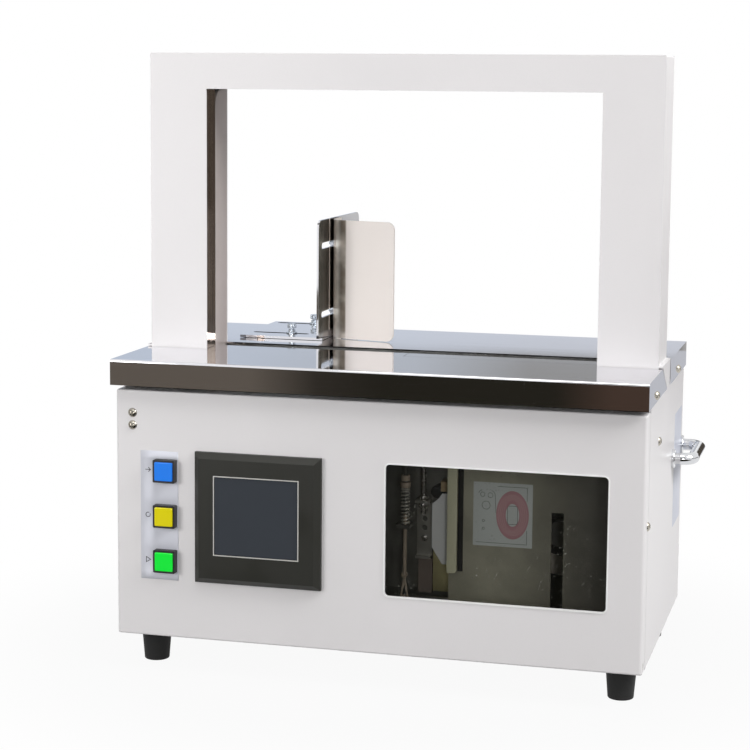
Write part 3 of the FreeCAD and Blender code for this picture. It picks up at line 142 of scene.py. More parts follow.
def joined(name, parts):
    """Several pieces become one object."""
    points = [np.array([v.co for v in p.data.vertices]) for p in parts]
    starts = np.cumsum([0] + [len(p) for p in points[:-1]]).tolist()
    faces = [[start + i for i in f.vertices]
             for start, part in zip(starts, parts) for f in part.data.polygons]
    piece = new_piece(name, np.concatenate(points).tolist(), faces)
    for part in parts:
        bpy.data.objects.remove(part)
    return piece


print("grid helpers ready")

# %% [markdown]
# A turned part is a profile of radius and height, swept round an axis. Its radius may
# ripple with the angle, which gives knurls and threads. Points of the profile are close
# together where the shape is sharp, so shading stays crisp there.

# %% Turned parts
def turned(name, centre, radii, heights, around=48, ripple=None):
    """Radius r(h) swept round +Z: x = cx + r cos(a), y = cy + r sin(a), z = cz + h.

    ripple(a, h) is added to the radius where it is given. Both ends close on the axis.
    """
    radii = np.concatenate([[0.0], np.asarray(radii, float), [0.0]])
    heights = np.concatenate([[heights[0]], np.asarray(heights, float), [heights[-1]]])
    angle = np.linspace(0, 2 * math.pi, around, endpoint=False)
    r, h = (np.repeat(a[:, None], around, axis=1) for a in (radii, heights))
    if ripple is not None:
        r = r + np.where(r > 0, ripple(angle[None, :], h), 0.0)
    points = np.stack([r * np.cos(angle), r * np.sin(angle), h], axis=2) + np.asarray(centre)
    return surface(name, points, wrap_columns=True)


print("turned helper ready")

# %% [markdown]
# Labels and films are thin rounded plates: the outline of a rounded rectangle, shrunk
# towards its middle, is a grid of how far out and how far round. A small step at the rim
# gives the film its real thickness.

# %% Rounded plates
def rounded_outline(half_width, half_height, radius, per_corner=8):
    """Corner arcs of a rounded rectangle: centre of the corner plus radius times (cos, sin)."""
    quarter = np.linspace(0, math.pi / 2, per_corner)
    corners = []
    for i, side in enumerate(((1, 1), (-1, 1), (-1, -1), (1, -1))):
        a = quarter + i * math.pi / 2
        inset = np.array(side) * (half_width - radius, half_height - radius)
        corners.append(inset + radius * np.stack([np.cos(a), np.sin(a)], axis=1))
    return np.concatenate(corners)


def plate(name, middle, half_size, radius, facing, thick):
    """A rounded plate on a face that looks along facing ("-y" or "+x").

    Rows run from the back's middle over the rim to the front's; columns run round.
    """
    u, v = rounded_outline(*half_size, radius).T
    share = np.array([0.0, 0.9, 1.0, 1.0, 0.96, 0.0])[:, None]
    depth = np.array([0.0, 0.0, 0.0, 0.7, 1.0, 1.0])[:, None] * thick * np.ones(len(u))
    offsets = (share * u, -depth, share * v) if facing == "-y" else (depth, share * u, share * v)
    return surface(name, np.stack(offsets, axis=2) + np.asarray(middle), wrap_columns=True)


print("plate helper ready")

# %% [markdown]
# Finishes come next. They are procedural and read object coordinates, so nothing repeats
# or slides. One helper makes a node and feeds each socket with a plain value or another
# node's output; a few more name the nodes used most.

# %% Node helpers
def feed(socket, value):
    """Link an output to a socket, or set a plain number, vector or colour on it."""
    if isinstance(value, bpy.types.NodeSocket):
        socket.id_data.links.new(value, socket)
    else:
        socket.default_value = (*value, 1.0) if socket.type == "RGBA" else value


def node(inside, kind, settings=None, numbered=(), **named):
    """A new node in a tree, or next to another node's output, with its settings.

    Its sockets are fed in order or by name, where _ stands for a space.
    """
    made = inside.id_data.nodes.new("ShaderNode" + kind)
    for label, value in (settings or {}).items():
        setattr(made, label, value)
    for number, value in enumerate(numbered):
        feed(made.inputs[number], value)
    for label, value in named.items():
        feed(made.inputs[label.replace("_", " ")], value)
    return made


def noise(place, scale, detail=2.0, roughness=0.5):
    return node(place, "TexNoise", Vector=place, Scale=scale, Detail=detail,
                Roughness=roughness).outputs["Fac"]


def ranged(value, low, high, to_low=0.0, to_high=1.0, smooth=True):
    """Map a value from one range to another, clamped."""
    kind = {"interpolation_type": "SMOOTHSTEP" if smooth else "LINEAR"}
    return node(value, "MapRange", kind, Value=value, From_Min=low, From_Max=high,
                To_Min=to_low, To_Max=to_high).outputs["Result"]


def evenly(mask, first, second):
    """A number that goes straight from first to second as the mask goes from 0 to 1."""
    return ranged(mask, 0.0, 1.0, first, second, smooth=False)


def output_in(*values):
    """The first of the values that is another node's output."""
    return next(v for v in values if isinstance(v, bpy.types.NodeSocket))


def math_node(operation, *values):
    made = node(output_in(*values), "Math", {"operation": operation}, values)
    return made.outputs["Value"]


def mixed(mask, first, second, how="MIX"):
    """One colour where the mask is 0, the other where it is 1; either may be an output."""
    made = node(output_in(mask, first), "Mix", {"data_type": "RGBA", "blend_type": how},
                Factor=mask)
    feed(made.inputs[6], first)
    feed(made.inputs[7], second)
    return made.outputs[2]


def length_of(place):
    return node(place, "VectorMath", {"operation": "LENGTH"}, (place,)).outputs["Value"]


def along(place, axis, low, high):
    """0 below low and 1 above high, measured along one axis of the object."""
    return ranged(node(place, "SeparateXYZ", Vector=place).outputs[axis], low, high)


print("node helpers ready")

# %% [markdown]
# Three effects are shared by many finishes, so each is a node group: the orange peel of
# powder coat, the fine lines of drawn metal, and the grain of moulded plastic. A group
# puts out only masks and heights; the shader and plain numbers stay in the material.

# %% The three shared effects
def new_group(name, inputs, outputs):
    """A node group. An input with a number is a float socket, one with None a vector."""
    group = bpy.data.node_groups.new(name, "ShaderNodeTree")
    for label, value in inputs.items():
        kind = "NodeSocketVector" if value is None else "NodeSocketFloat"
        socket = group.interface.new_socket(name=label, in_out="INPUT", socket_type=kind)
        if value is not None:
            socket.default_value = value
    for label in outputs:
        group.interface.new_socket(name=label, in_out="OUTPUT", socket_type="NodeSocketFloat")
    start, end = (group.nodes.new(kind) for kind in ("NodeGroupInput", "NodeGroupOutput"))
    return group, start.outputs, end.inputs


coat_group, given, gives = new_group(
    "coat_skin", {"Place": None, "Peel": 700.0, "Cloud": 7.0}, ["Shade", "Height", "Dull"])
dust = noise(given["Place"], 2600.0, 1.0, 0.3)
feed(gives["Shade"], noise(given["Place"], given["Cloud"], 3.0, 0.55))
feed(gives["Height"], noise(given["Place"], given["Peel"], 1.5, 0.4))
feed(gives["Dull"], ranged(dust, 0.60, 0.78))

drawn_group, given, gives = new_group(
    "drawn_lines", {"Place": None, "Stretch": None, "Cloud": 12.0}, ["Line", "Shade", "Scratch"])
stretched = node(drawn_group, "VectorMath", {"operation": "MULTIPLY"},
                 (given["Place"], given["Stretch"]))
lines = noise(stretched.outputs["Vector"], 1.0, 4.0, 0.6)
feed(gives["Line"], lines)
feed(gives["Shade"], noise(given["Place"], given["Cloud"], 3.0))
feed(gives["Scratch"], ranged(lines, 0.66, 0.74))

grain_group, given, gives = new_group(
    "moulded_grain", {"Place": None, "Grain": 1800.0, "Cloud": 20.0},
    ["Height", "Shade", "Handled"])
smudge = noise(given["Place"], given["Cloud"], 3.0, 0.6)
feed(gives["Height"], noise(given["Place"], given["Grain"], 2.0))
feed(gives["Shade"], smudge)
feed(gives["Handled"], ranged(smudge, 0.50, 0.72))
print("groups", [g.name for g in (coat_group, drawn_group, grain_group)])

# %% [markdown]
# A finish is one Principled material. Plain numbers, such as how metallic it is, sit on
# the shader's own sockets; only what changes over the surface comes through nodes. With
# these helpers each finish below reads as a list of choices.

# %% Wiring a finish
finishes = {}
fine_relief, deep_relief = 0.0001, 0.0004


def new_finish(name, **even):
    """A Principled material whose plain values are set on the shader's sockets."""
    material = bpy.data.materials.new(name)
    material.use_nodes = True
    finishes[name] = material
    tree = material.node_tree
    shader = tree.nodes["Principled BSDF"].inputs
    for label, value in even.items():
        shader[label.replace("_", " ")].default_value = value
    return shader, node(tree, "TexCoord").outputs["Object"]


def use_group(group, place, **values):
    return node(place, "Group", {"node_tree": group}, Place=place, **values).outputs


def wear(shader, colour, roughness, height, strength, relief=fine_relief):
    """Feed the shader's colour and roughness, and its normal by a bump from a height."""
    raised = node(height, "Bump", Strength=strength, Distance=relief, Height=height)
    feed(shader["Base Color"], colour)
    feed(shader["Roughness"], roughness)
    feed(shader["Normal"], raised.outputs["Normal"])


def shade_of(colour, factor):
    return tuple(c * factor for c in colour)


print("wiring helpers ready")

# %% [markdown]
# Powder coat is a thick, slightly rippled skin. The powder lies a little thicker in some
# places, and fine dust settles on it. Light catches the ripple only at a shallow angle,
# so the bump is weak.

# %% Powder coat
def coated(name, colour, roughness=(0.36, 0.46), cloud=0.03):
    shader, place = new_finish(name)
    skin = use_group(coat_group, place, Peel=620.0, Cloud=6.0)
    thick = ranged(skin["Shade"], 0.35, 0.65)
    even = mixed(thick, shade_of(colour, 1.0 - cloud), colour)
    dusted = mixed(skin["Dull"], even, shade_of(colour, 0.94))
    wear(shader, dusted, ranged(skin["Shade"], 0.3, 0.7, *roughness),
         skin["Height"], 0.05, deep_relief)


coated("white_paint", (0.760, 0.740, 0.745))
print("coats", list(finishes))

# %% [markdown]
# Bare metal shows how it was made: polished sheet has long, fine lines along one
# direction, turned parts have lines around them, and zinc plating is cloudy. One group
# serves all, stretched along X, Y and Z: a large number packs the noise tightly along
# that axis, so the lines run along the small one.

# %% Bare metals
def drawn(name, colour, roughness, stretch, cloud=0.08, groove=0.04, metallic=1.0, blotch=12.0):
    shader, place = new_finish(name, Metallic=metallic)
    metal = use_group(drawn_group, place, Stretch=stretch, Cloud=blotch)
    cloudy = ranged(metal["Shade"], 0.3, 0.7)
    even = mixed(cloudy, shade_of(colour, 1.0 - cloud), colour)
    scratched = mixed(metal["Scratch"], even, shade_of(colour, 0.8))
    wear(shader, scratched, ranged(metal["Line"], 0.3, 0.7, *roughness),
         metal["Line"], groove)


tight, dense = (900.0, 900.0, 900.0), (700.0, 700.0, 700.0)
drawn("mirror_steel", (0.80, 0.80, 0.83), (0.03, 0.07), (8.0, 900.0, 900.0), 0.02, 0.015)
# The liner's brown tint is a painted reflection of the dark, warm room in its steel.
drawn("liner_steel", (0.46, 0.36, 0.29), (0.08, 0.14), (900.0, 900.0, 8.0), 0.05)
drawn("zinc_sheet", (0.60, 0.59, 0.54), (0.34, 0.50), (30.0, 30.0, 26.0), 0.22, blotch=45.0)
drawn("cage_steel", (0.62, 0.62, 0.60), (0.30, 0.44), (20.0, 300.0, 300.0), 0.12)
drawn("chrome", (0.70, 0.71, 0.73), (0.05, 0.10), (60.0, 400.0, 400.0), 0.02, 0.01)
drawn("bright_screws", (0.74, 0.72, 0.68), (0.16, 0.30), dense, 0.10)
drawn("frame_steel", (0.40, 0.40, 0.39), (0.30, 0.46), (260.0, 260.0, 20.0), 0.18, blotch=30.0)
drawn("spring_steel", (1.00, 0.98, 0.86), (0.14, 0.20), tight, 0.06, metallic=0.65)
drawn("rod_copper", (1.00, 0.84, 0.66), (0.16, 0.26), (900.0, 900.0, 60.0), 0.20,
      metallic=0.55, blotch=90.0)
drawn("pan_screws", (0.50, 0.47, 0.41), (0.18, 0.30), dense, 0.14)
drawn("dark_steel", (0.27, 0.27, 0.25), (0.34, 0.48), (260.0, 260.0, 20.0), 0.25, blotch=40.0)
drawn("blue_zinc", (0.58, 0.64, 0.71), (0.20, 0.30), dense, 0.12, blotch=90.0)
drawn("magnet", (0.10, 0.10, 0.11), (0.35, 0.50), (500.0, 500.0, 500.0), 0.2, metallic=0.6)
print("finishes", len(finishes))

# %% [markdown]
# Moulded plastic and rubber take a fine, even grain from their mould. Where fingers touch
# it often, it is polished a little, which shows as shinier patches. The button caps are
# clear-topped coloured plastic: a thin coat over a strong colour gives the highlight.

# %% Moulded plastics, rubber and coloured caps
def moulded(name, colour, roughness, grain=1800.0, depth=0.10, cloud=0.10, **even):
    shader, place = new_finish(name, **even)
    skin = use_group(grain_group, place, Grain=grain, Cloud=24.0)
    cloudy = mixed(skin["Shade"], shade_of(colour, 1.0 - cloud),
                   shade_of(colour, 1.0 + cloud))
    touched, untouched = roughness
    wear(shader, cloudy, evenly(skin["Handled"], untouched, touched),
         skin["Height"], depth)


moulded("hmi_plastic", (0.020, 0.020, 0.016), (0.36, 0.48), depth=0.16, IOR=1.42)
moulded("hmi_glass", (0.046, 0.052, 0.062), (0.10, 0.16), depth=0.01, cloud=0.06,
        Coat_Weight=0.5)
moulded("black_plastic", (0.016, 0.016, 0.017), (0.30, 0.42), depth=0.12)
moulded("rubber", (0.012, 0.012, 0.012), (0.55, 0.70), 1100.0, 0.25, 0.18, IOR=1.36)
moulded("track_plastic", (0.45, 0.395, 0.375), (0.36, 0.48), cloud=0.05)
moulded("cream_strip", (0.56, 0.55, 0.38), (0.42, 0.55), cloud=0.06)
moulded("motor_black", (0.030, 0.030, 0.032), (0.42, 0.55), 900.0, 0.2)
moulded("roller_rubber", (0.36, 0.20, 0.10), (0.50, 0.62), 1400.0, 0.2)
cap_colours = {"blue": (0.016, 0.215, 0.88), "yellow": (0.74, 0.65, 0.002),
               "green": (0.005, 0.88, 0.048)}
for name, colour in cap_colours.items():
    moulded("cap_" + name, colour, (0.18, 0.26), 1500.0, 0.03, 0.04, Coat_Weight=0.3)
print("finishes", len(finishes))

# %% [markdown]
# The smoked window is a flat acrylic sheet. It is made nearly clear by alpha, which lets
# lamps shine in without slow refraction. Dust specks sit on it, thicker in some patches
# than in others, and they are less clear than the sheet.

# %% Smoked window
pane_solid, speck_solid = 0.16, 0.38
smoke, speck_colour = (0.012, 0.012, 0.009), (0.36, 0.36, 0.32)
shader, place = new_finish("smoked_pane", IOR=1.49, Specular_IOR_Level=0.3)
film = use_group(grain_group, place, Grain=260.0, Cloud=30.0)
dots = node(place, "TexVoronoi", Vector=place, Scale=210.0)
patchy = ranged(noise(place, 22.0, 2.0), 0.46, 0.62, 0.25, 1.0)
speck = math_node("MULTIPLY", ranged(dots.outputs["Distance"], 0.17, 0.07), patchy)
feed(shader["Base Color"], mixed(speck, smoke, speck_colour))
feed(shader["Roughness"], ranged(film["Shade"], 0.3, 0.7, 0.03, 0.06))
feed(shader["Alpha"], evenly(speck, pane_solid, speck_solid))
print("pane alpha", pane_solid)

# %% [markdown]
# The back stop's upright face is a warm, brushed cream. Its bend is brushed steel with painted
# reflections: a painted light reflection next to the face, a streaked, painted dark brown
# reflection further left, and a painted highlight line where it meets the guide's wall. Each
# change runs along X, so an object coordinate is the mask.

# %% Back stop's finish
face_begins, bend_reflection_darkens, wall_highlight_span = (-0.0732, -0.0712), (-0.0810, -0.0765), (-0.0836, -0.0828)
shader, place = new_finish("stop_plate")
face = along(place, "X", *face_begins)
metal = use_group(drawn_group, place, Stretch=(900.0, 900.0, 10.0), Cloud=34.0)
cream = mixed(metal["Shade"], (0.865, 0.800, 0.755), (0.890, 0.825, 0.780))
# Painted reflections on the bend: a light band next to the face, a dark brown band further left,
# and a painted highlight line by the wall.
bend_light_reflection = mixed(ranged(metal["Shade"], 0.35, 0.65), (0.66, 0.63, 0.58), (1.00, 0.97, 0.91))
bend_dark_reflection = mixed(ranged(metal["Shade"], 0.40, 0.62), (0.28, 0.235, 0.19), (0.66, 0.60, 0.53))
bend_reflection = mixed(along(place, "X", *bend_reflection_darkens), bend_light_reflection, bend_dark_reflection)
edge = math_node("SUBTRACT", 1.0, along(place, "X", *wall_highlight_span))
bend_with_highlight_line = mixed(edge, bend_reflection, (0.84, 0.76, 0.68))
feed(shader["Metallic"], evenly(math_node("MAXIMUM", face, edge), 0.35, 0.0))
wear(shader, mixed(face, bend_with_highlight_line, cream), evenly(face, 0.30, 0.38),
     metal["Line"], 0.05)
print("stop plate ready")

# %% [markdown]
# The guide's base is a mirror like the table. The inner face of its wall is brushed, and its
# colour carries painted light and shade: a painted dark reflection in front, black painted shade
# in the stop's shadow with a painted highlight line beside it, and a painted grey reflection
# behind.

# %% Side guide's finish
above_base, inner_face = (0.268, 0.272), (-0.0896, -0.0892)
highlight_begins, highlight_ends, shadow_begins = (0.0435, 0.0440), (0.0468, 0.0474), (0.0468, 0.0476)
rear_reflection_begins = (0.062, 0.080)
shader, place = new_finish("guide_plate")
metal = use_group(drawn_group, place, Stretch=(500.0, 500.0, 12.0), Cloud=30.0)
inner = math_node("MULTIPLY", along(place, "Z", *above_base),
                  along(place, "X", *inner_face))
rear = along(place, "Y", *rear_reflection_begins)
# Painted reflections and shade on the wall: a dark reflection in front, the stop's black shadow, a
# highlight line and a grey reflection behind.
dark_reflection = mixed(ranged(metal["Line"], 0.35, 0.65), (0.065, 0.064, 0.054), (0.24, 0.235, 0.21))
highlight_line = math_node("MULTIPLY", along(place, "Y", *highlight_begins),
                 math_node("SUBTRACT", 1.0, along(place, "Y", *highlight_ends)))
painted_wall = mixed(along(place, "Y", *shadow_begins), dark_reflection, (0.012, 0.011, 0.010))
painted_wall = mixed(highlight_line, painted_wall, (0.80, 0.71, 0.62))
painted_wall = mixed(rear, painted_wall, (0.60, 0.60, 0.62))
dull = math_node("MULTIPLY", inner, math_node("MAXIMUM", rear, highlight_line))
feed(shader["Metallic"], evenly(dull, 1.0, 0.15))
wear(shader, mixed(inner, (0.80, 0.80, 0.83), painted_wall),
     evenly(inner, 0.05, 0.26), metal["Line"], 0.03)
print("guide plate ready")

# %% [markdown]
# The reel guard's zinc is olive and cloudy, and it grows dull and dark towards its right
# edge, which never gets wiped.

# %% Reel guard's finish
painted_shade_towards_right = (0.085, 0.180)
shader, place = new_finish("guard_zinc", Metallic=0.25)
metal = use_group(drawn_group, place, Stretch=(30.0, 30.0, 26.0), Cloud=45.0)
# Painted shade: the olive colour darkens towards the right.
sheet_with_painted_shade = mixed(along(place, "X", *painted_shade_towards_right), (0.345, 0.335, 0.255),
              (0.105, 0.100, 0.085))
cloudy = mixed(ranged(metal["Shade"], 0.3, 0.7), (0.82, 0.82, 0.82), (1.0, 1.0, 1.0))
wear(shader, mixed(1.0, sheet_with_painted_shade, cloudy, "MULTIPLY"),
     ranged(metal["Line"], 0.3, 0.7, 0.30, 0.40), metal["Line"], 0.04)
print("guard zinc ready")

# %% [markdown]
# Two finishes are seldom seen. The tape roll's flank shows its layers as fine rings round
# the reel's axis. The control board is green lacquer over copper tracks, which run along
# two directions in steps.

# %% Paper roll and circuit board
ply_thick = 0.0006
reel_x, _, reel_z = (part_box("tape_roll")[0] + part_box("tape_roll")[1]) / 2
shader, place = new_finish("tape_paper")
centred = node(place, "Mapping", {"vector_type": "POINT"}, Location=(-reel_x, 0.0, -reel_z),
               Vector=place)
flat = node(place, "VectorMath", {"operation": "MULTIPLY"},
            (centred.outputs["Vector"], (1.0, 0.0, 1.0)))
layer = math_node("PINGPONG", length_of(flat.outputs["Vector"]), ply_thick)
ply = ranged(layer, 0.0, ply_thick)
wear(shader, mixed(ply, (0.66, 0.60, 0.50), (0.82, 0.78, 0.68)),
     ranged(ply, 0.0, 1.0, 0.70, 0.85), ply, 0.3)

shader, place = new_finish("board_green")
cells = node(place, "TexVoronoi", {"distance": "CHEBYCHEV"}, Vector=place, Scale=190.0)
track = ranged(cells.outputs["Distance"], 0.18, 0.24)
wear(shader, mixed(track, (0.05, 0.30, 0.12), (0.008, 0.11, 0.045)),
     ranged(track, 0.0, 1.0, 0.25, 0.40), track, 0.2)
print("finishes", len(finishes))

# %% [markdown]
# The record names a material slot for every node, so one loop dresses the whole frame.
# A few nodes wear another finish than their slot's: the stop, the guide and the guard,
# the screws that are duller or bluer, and the dark parts of the sealing head and the reel.

# %% Dress the frame
special = {"back_stop": "stop_plate", "side_guide": "guide_plate", "reel_guard": "guard_zinc",
           "head_front_plate": "dark_steel", "reel_shaft": "dark_steel",
           "reel_hub": "black_plastic", "back_stop_screws": "blue_zinc",
           "case_screws": "pan_screws", "cover_screws": "pan_screws"}
for part in frame["record"]["subparts"]:
    name, slot_name = part["node"], part["material_slot"]
    chosen = finishes[special.get(name, slot_name)]
    for holder in nodes[name].material_slots:
        holder.material = chosen

# %% [markdown]
# Everything below is a small piece that rides on a body of the frame. One helper gives it its
# finish and its body; where no other finish is named, the finish of its slot's name serves.

# %% Adding a piece
def add(piece, body, slot_name, finish=None):
    piece.data.materials.clear()
    piece.data.materials.append(finishes[finish or slot_name])
    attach(piece, body)


print("ready to add pieces")

# %% [markdown]
# The label behind the buttons is a thin polyester film with a square hole for each
# collar: a flat grid whose middle column lacks every second cell, made thick by Solidify.
# It has no words; beside each button stands a small sign instead.

# %% Label film behind the buttons
def in_mm(*values):
    """An array of lengths in metres, from numbers in millimetres."""
    return np.array(values) * mm


cover_front = -135.5 * mm
film_thick = 0.16 * mm
film_face = cover_front - film_thick
button_x, hole_half = -176.3 * mm, 9.56 * mm
start_z, reset_z, feed_z = button_zs = in_mm(95.0, 133.0, 171.0)

shader, place = new_finish("label_film")
skin = use_group(grain_group, place, Grain=2400.0, Cloud=16.0)
wear(shader, mixed(skin["Shade"], (0.65, 0.66, 0.725), (0.68, 0.69, 0.755)),
     ranged(skin["Handled"], 0.0, 1.0, 0.62, 0.52), skin["Height"], 0.05)
film_xs = np.array([-198.5 * mm, button_x - hole_half, button_x + hole_half, -165.5 * mm])
film_zs = np.sort(np.concatenate([in_mm(78.6, 187.0), button_zs - hole_half,
                                  button_zs + hole_half]))
x, z = np.meshgrid(film_xs, film_zs, indexing="ij")
film_points = np.stack([x, np.full_like(x, cover_front - film_thick / 2), z], axis=2)
holes = len(film_zs) - 1 + np.array([1, 3, 5])
cells = np.delete(grid_faces(*x.shape), holes, axis=0)
film = new_piece("button_film", film_points.reshape(-1, 3).tolist(), cells.tolist())
shell = film.modifiers.new("thickness", "SOLIDIFY")
shell.thickness, shell.offset = film_thick, 0.0
add(film, "front_cover", "white_paint", "label_film")
print("button film", len(film.data.polygons), "cells")

# %% [markdown]
# Printed lines are flat strips that follow a path. At each corner the strip is mitred:
# the offset there is the sum of the two edge normals divided by one plus their dot
# product, which keeps the width the same round any bend.

# %% Printed strips and rings
def strip(name, path, width, thick, face_y, closed=False):
    """A flat strip along a path of (x, z), standing thick in front of the plane y = face_y."""
    path = np.asarray(path, float)
    step = np.diff(np.vstack([path, path[:1]]) if closed else path, axis=0)
    step = step / np.linalg.norm(step, axis=1, keepdims=True)
    normal = np.stack([-step[:, 1], step[:, 0]], axis=1)
    before = np.roll(normal, 1, axis=0) if closed else np.vstack([normal[:1], normal])
    after = normal if closed else np.vstack([normal, normal[-1:]])
    mitre = (before + after) / (1 + np.sum(before * after, axis=1, keepdims=True))
    across = np.array([-0.5, 0.5, 0.5, -0.5]) * width
    x, z = (path[:, [i]] + mitre[:, [i]] * across for i in (0, 1))
    y = face_y - np.array([0.0, 0.0, 1.0, 1.0]) * thick * np.ones_like(x)
    points = np.stack([x, y, z], axis=2)
    if not closed:
        middle = points.mean(axis=1, keepdims=True).repeat(4, axis=1)
        points = np.concatenate([middle[:1], points, middle[-1:]])
    return surface(name, points, wrap_rows=closed, wrap_columns=True)


def arc(centre, radius, start, stop, steps=32):
    """Points on a circle: centre plus radius times (cos, sin), from start to stop degrees."""
    angle = np.radians(np.linspace(start, stop, steps))[:, None]
    return np.asarray(centre) + radius * np.hstack([np.cos(angle), np.sin(angle)])


def printed_ring(name, centre, inner, outer, thick, face_y, steps=64):
    """A flat ring between two ellipses: (x, z) = centre + half axes times (cos a, sin a)."""
    angle = np.linspace(0, 2 * math.pi, steps, endpoint=False)[:, None]
    inner, outer = np.broadcast_to(inner, 2), np.broadcast_to(outer, 2)
    across = np.stack([inner, outer, outer, inner])
    x = centre[0] + across[:, 0] * np.cos(angle)
    z = centre[1] + across[:, 1] * np.sin(angle)
    y = face_y - np.array([0.0, 0.0, 1.0, 1.0]) * thick * np.ones_like(x)
    return surface(name, np.stack([x, y, z], axis=2), wrap_rows=True, wrap_columns=True)


print("strip helpers ready")

# %% [markdown]
# The signs stand on the film, left of each collar: an arrow for feed, a ring for reset
# and a triangle for start.

# %% Signs beside the buttons
moulded("print_ink", (0.030, 0.030, 0.034), (0.45, 0.55), 2600.0, 0.05)
ink_thick, pen = 0.04 * mm, 0.55 * mm
sign_x = -192.2 * mm
arrow_shaft = in_mm((-2.2, 0), (2.0, 0)) + (sign_x, feed_z)
arrow_head = in_mm((0.4, 1.9), (2.3, 0), (0.4, -1.9)) + (sign_x, feed_z)
triangle = in_mm((-1.7, -2.2), (2.1, 0), (-1.7, 2.2)) + (sign_x, start_z)
signs = joined("button_signs", [
    strip("shaft", arrow_shaft, pen, ink_thick, film_face),
    strip("head", arrow_head, pen, ink_thick, film_face),
    strip("ring", arc((sign_x, reset_z), 1.9 * mm, 60, 390), pen, ink_thick, film_face),
    strip("start", triangle, pen, ink_thick, film_face, closed=True)])
add(signs, "front_cover", "black_plastic", "print_ink")
print("signs", len(signs.data.polygons), "faces")

# %% [markdown]
# A thin bead runs round the cut edge of the cover at the window; its paint is lighter than the
# cover's, as a painted highlight on that edge. It is a strip that follows a rounded rectangle a
# little larger than the hole.

# %% Bead round the window
# Painted highlight: the bead's paint is lighter than the cover's.
coated("bead_highlight_paint", (0.88, 0.88, 0.87), roughness=(0.30, 0.38), cloud=0.01)
window_low, window_high = in_mm(11.0, 79.0), in_mm(190.5, 187.0)
window_corner, bead_wide = 3.5 * mm, 1.2 * mm
bead_half = (window_high - window_low + bead_wide) / 2
bead_path = rounded_outline(*bead_half, window_corner + bead_wide / 2)
highlight_bead = strip("window_highlight_bead", bead_path + (window_low + window_high) / 2, bead_wide, 0.5 * mm,
             cover_front, closed=True)
add(highlight_bead, "front_cover", "white_paint", "bead_highlight_paint")
print("highlight_bead", len(highlight_bead.data.polygons), "faces")

# %% [markdown]
# A fine silver line frames the touch panel's glass.

# %% Silver line round the screen
drawn("silver_line", (0.62, 0.61, 0.58), (0.30, 0.42), (500.0, 500.0, 500.0), 0.06,
      metallic=0.2)
bezel_face, line_wide = -143.5 * mm, 0.85 * mm
line_half = in_mm(35.7, 32.5) + line_wide / 2
corners = np.array([(-1, -1), (1, -1), (1, 1), (-1, 1)]) * line_half + in_mm(-96.0, 137.2)
screen_line = strip("screen_line", corners, line_wide, 0.05 * mm, bezel_face, closed=True)
add(screen_line, "front_cover", "hmi_plastic", "silver_line")
print("silver line", round(2 * float(line_half[0]) * 1000, 1), "mm wide")

# %% [markdown]
# A bare, pale blue label sits on the right side panel near its rear edge.

# %% Bare label on the side
label_film = {"grain": 2400.0, "depth": 0.05, "cloud": 0.03}
moulded("side_label_film", (0.56, 0.58, 0.66), (0.35, 0.45), **label_film)
side_label = plate("side_label", in_mm(220.0, 86.0, 157.0), in_mm(27.0, 50.0), 2.0 * mm,
                   "+x", 0.15 * mm)
add(side_label, "frame", "white_paint", "side_label_film")
print("side label", len(side_label.data.polygons), "faces")

# %% [markdown]
# The threading label inside the window shows how the tape runs. This one is generic: a
# rose ring for the reel, paler rings for its turns, a few rollers and a line for the tape.

# %% Threading label on the guard
moulded("guard_label_film", (0.46, 0.49, 0.46), (0.40, 0.50), **label_film)
ink_look = {"roughness": (0.45, 0.55), "grain": 2600.0, "depth": 0.05, "cloud": 0.05}
moulded("rose_ink", (0.40, 0.21, 0.22), **ink_look)
moulded("pale_rose_ink", (0.52, 0.36, 0.36), **ink_look)
guard_face = -80.9 * mm
sheet_thick = 0.15 * mm
ink_face = guard_face - sheet_thick
label = plate("guard_label", (96.5 * mm, guard_face, 139.6 * mm), in_mm(24.7, 26.6), 0.6 * mm,
              "-y", sheet_thick)
add(label, "frame", "cream_strip", "guard_label_film")
reel_at, reel_inner, reel_outer = in_mm(104.6, 139.8), in_mm(5.7, 9.5), in_mm(13.6, 20.2)
rose = printed_ring("guard_label_reel", reel_at, reel_inner, reel_outer, ink_thick, ink_face)
add(rose, "frame", "cream_strip", "rose_ink")
turn_half = 0.15 * mm
turn_sizes = [in_mm(r, r + 6.6 - 0.28 * (r - 5.7)) for r in (7.2, 8.8, 10.4, 12.0)]
turns = joined("guard_label_turns", [
    printed_ring("turn", reel_at, size - turn_half, size + turn_half, ink_thick / 2,
                 ink_face - ink_thick) for size in turn_sizes])
add(turns, "frame", "cream_strip", "pale_rose_ink")

fine = 0.30 * mm
tape_path = np.concatenate([
    in_mm((83.0, 118.5), (76.0, 118.5), (76.0, 156.0)),
    arc(in_mm(79.5, 156.0), 3.5 * mm, 180, 90, 12),
    in_mm((86.0, 159.5)), arc(in_mm(86.0, 155.5), 4.0 * mm, 90, 0, 12), in_mm((90.8, 141.0))])
ink_paths = {"tape": tape_path, "base": in_mm((74.5, 115.8), (116.6, 115.8), (116.6, 127.5)),
             "rim": in_mm((92.0, 163.2), (116.6, 163.2), (116.6, 152.0))}
rollers = [((79.5, 156.0), 1.7), ((86.0, 155.5), 1.9), ((82.5, 147.0), 3.2),
           ((80.5, 134.0), 0.8), ((80.5, 127.5), 0.8)]
hub = rounded_outline(4.2 * mm, 7.6 * mm, 1.6 * mm) + reel_at
ink = [strip("hub", hub, fine, ink_thick, ink_face, closed=True)]
ink += [strip(name, path, fine, ink_thick, ink_face) for name, path in ink_paths.items()]
ink += [printed_ring("roller", in_mm(*at), r * mm, r * mm + fine, ink_thick, ink_face)
        for at, r in rollers]
diagram = joined("guard_label_lines", ink)
add(diagram, "frame", "cream_strip", "print_ink")
print("threading label", len(diagram.data.polygons), "faces of ink")

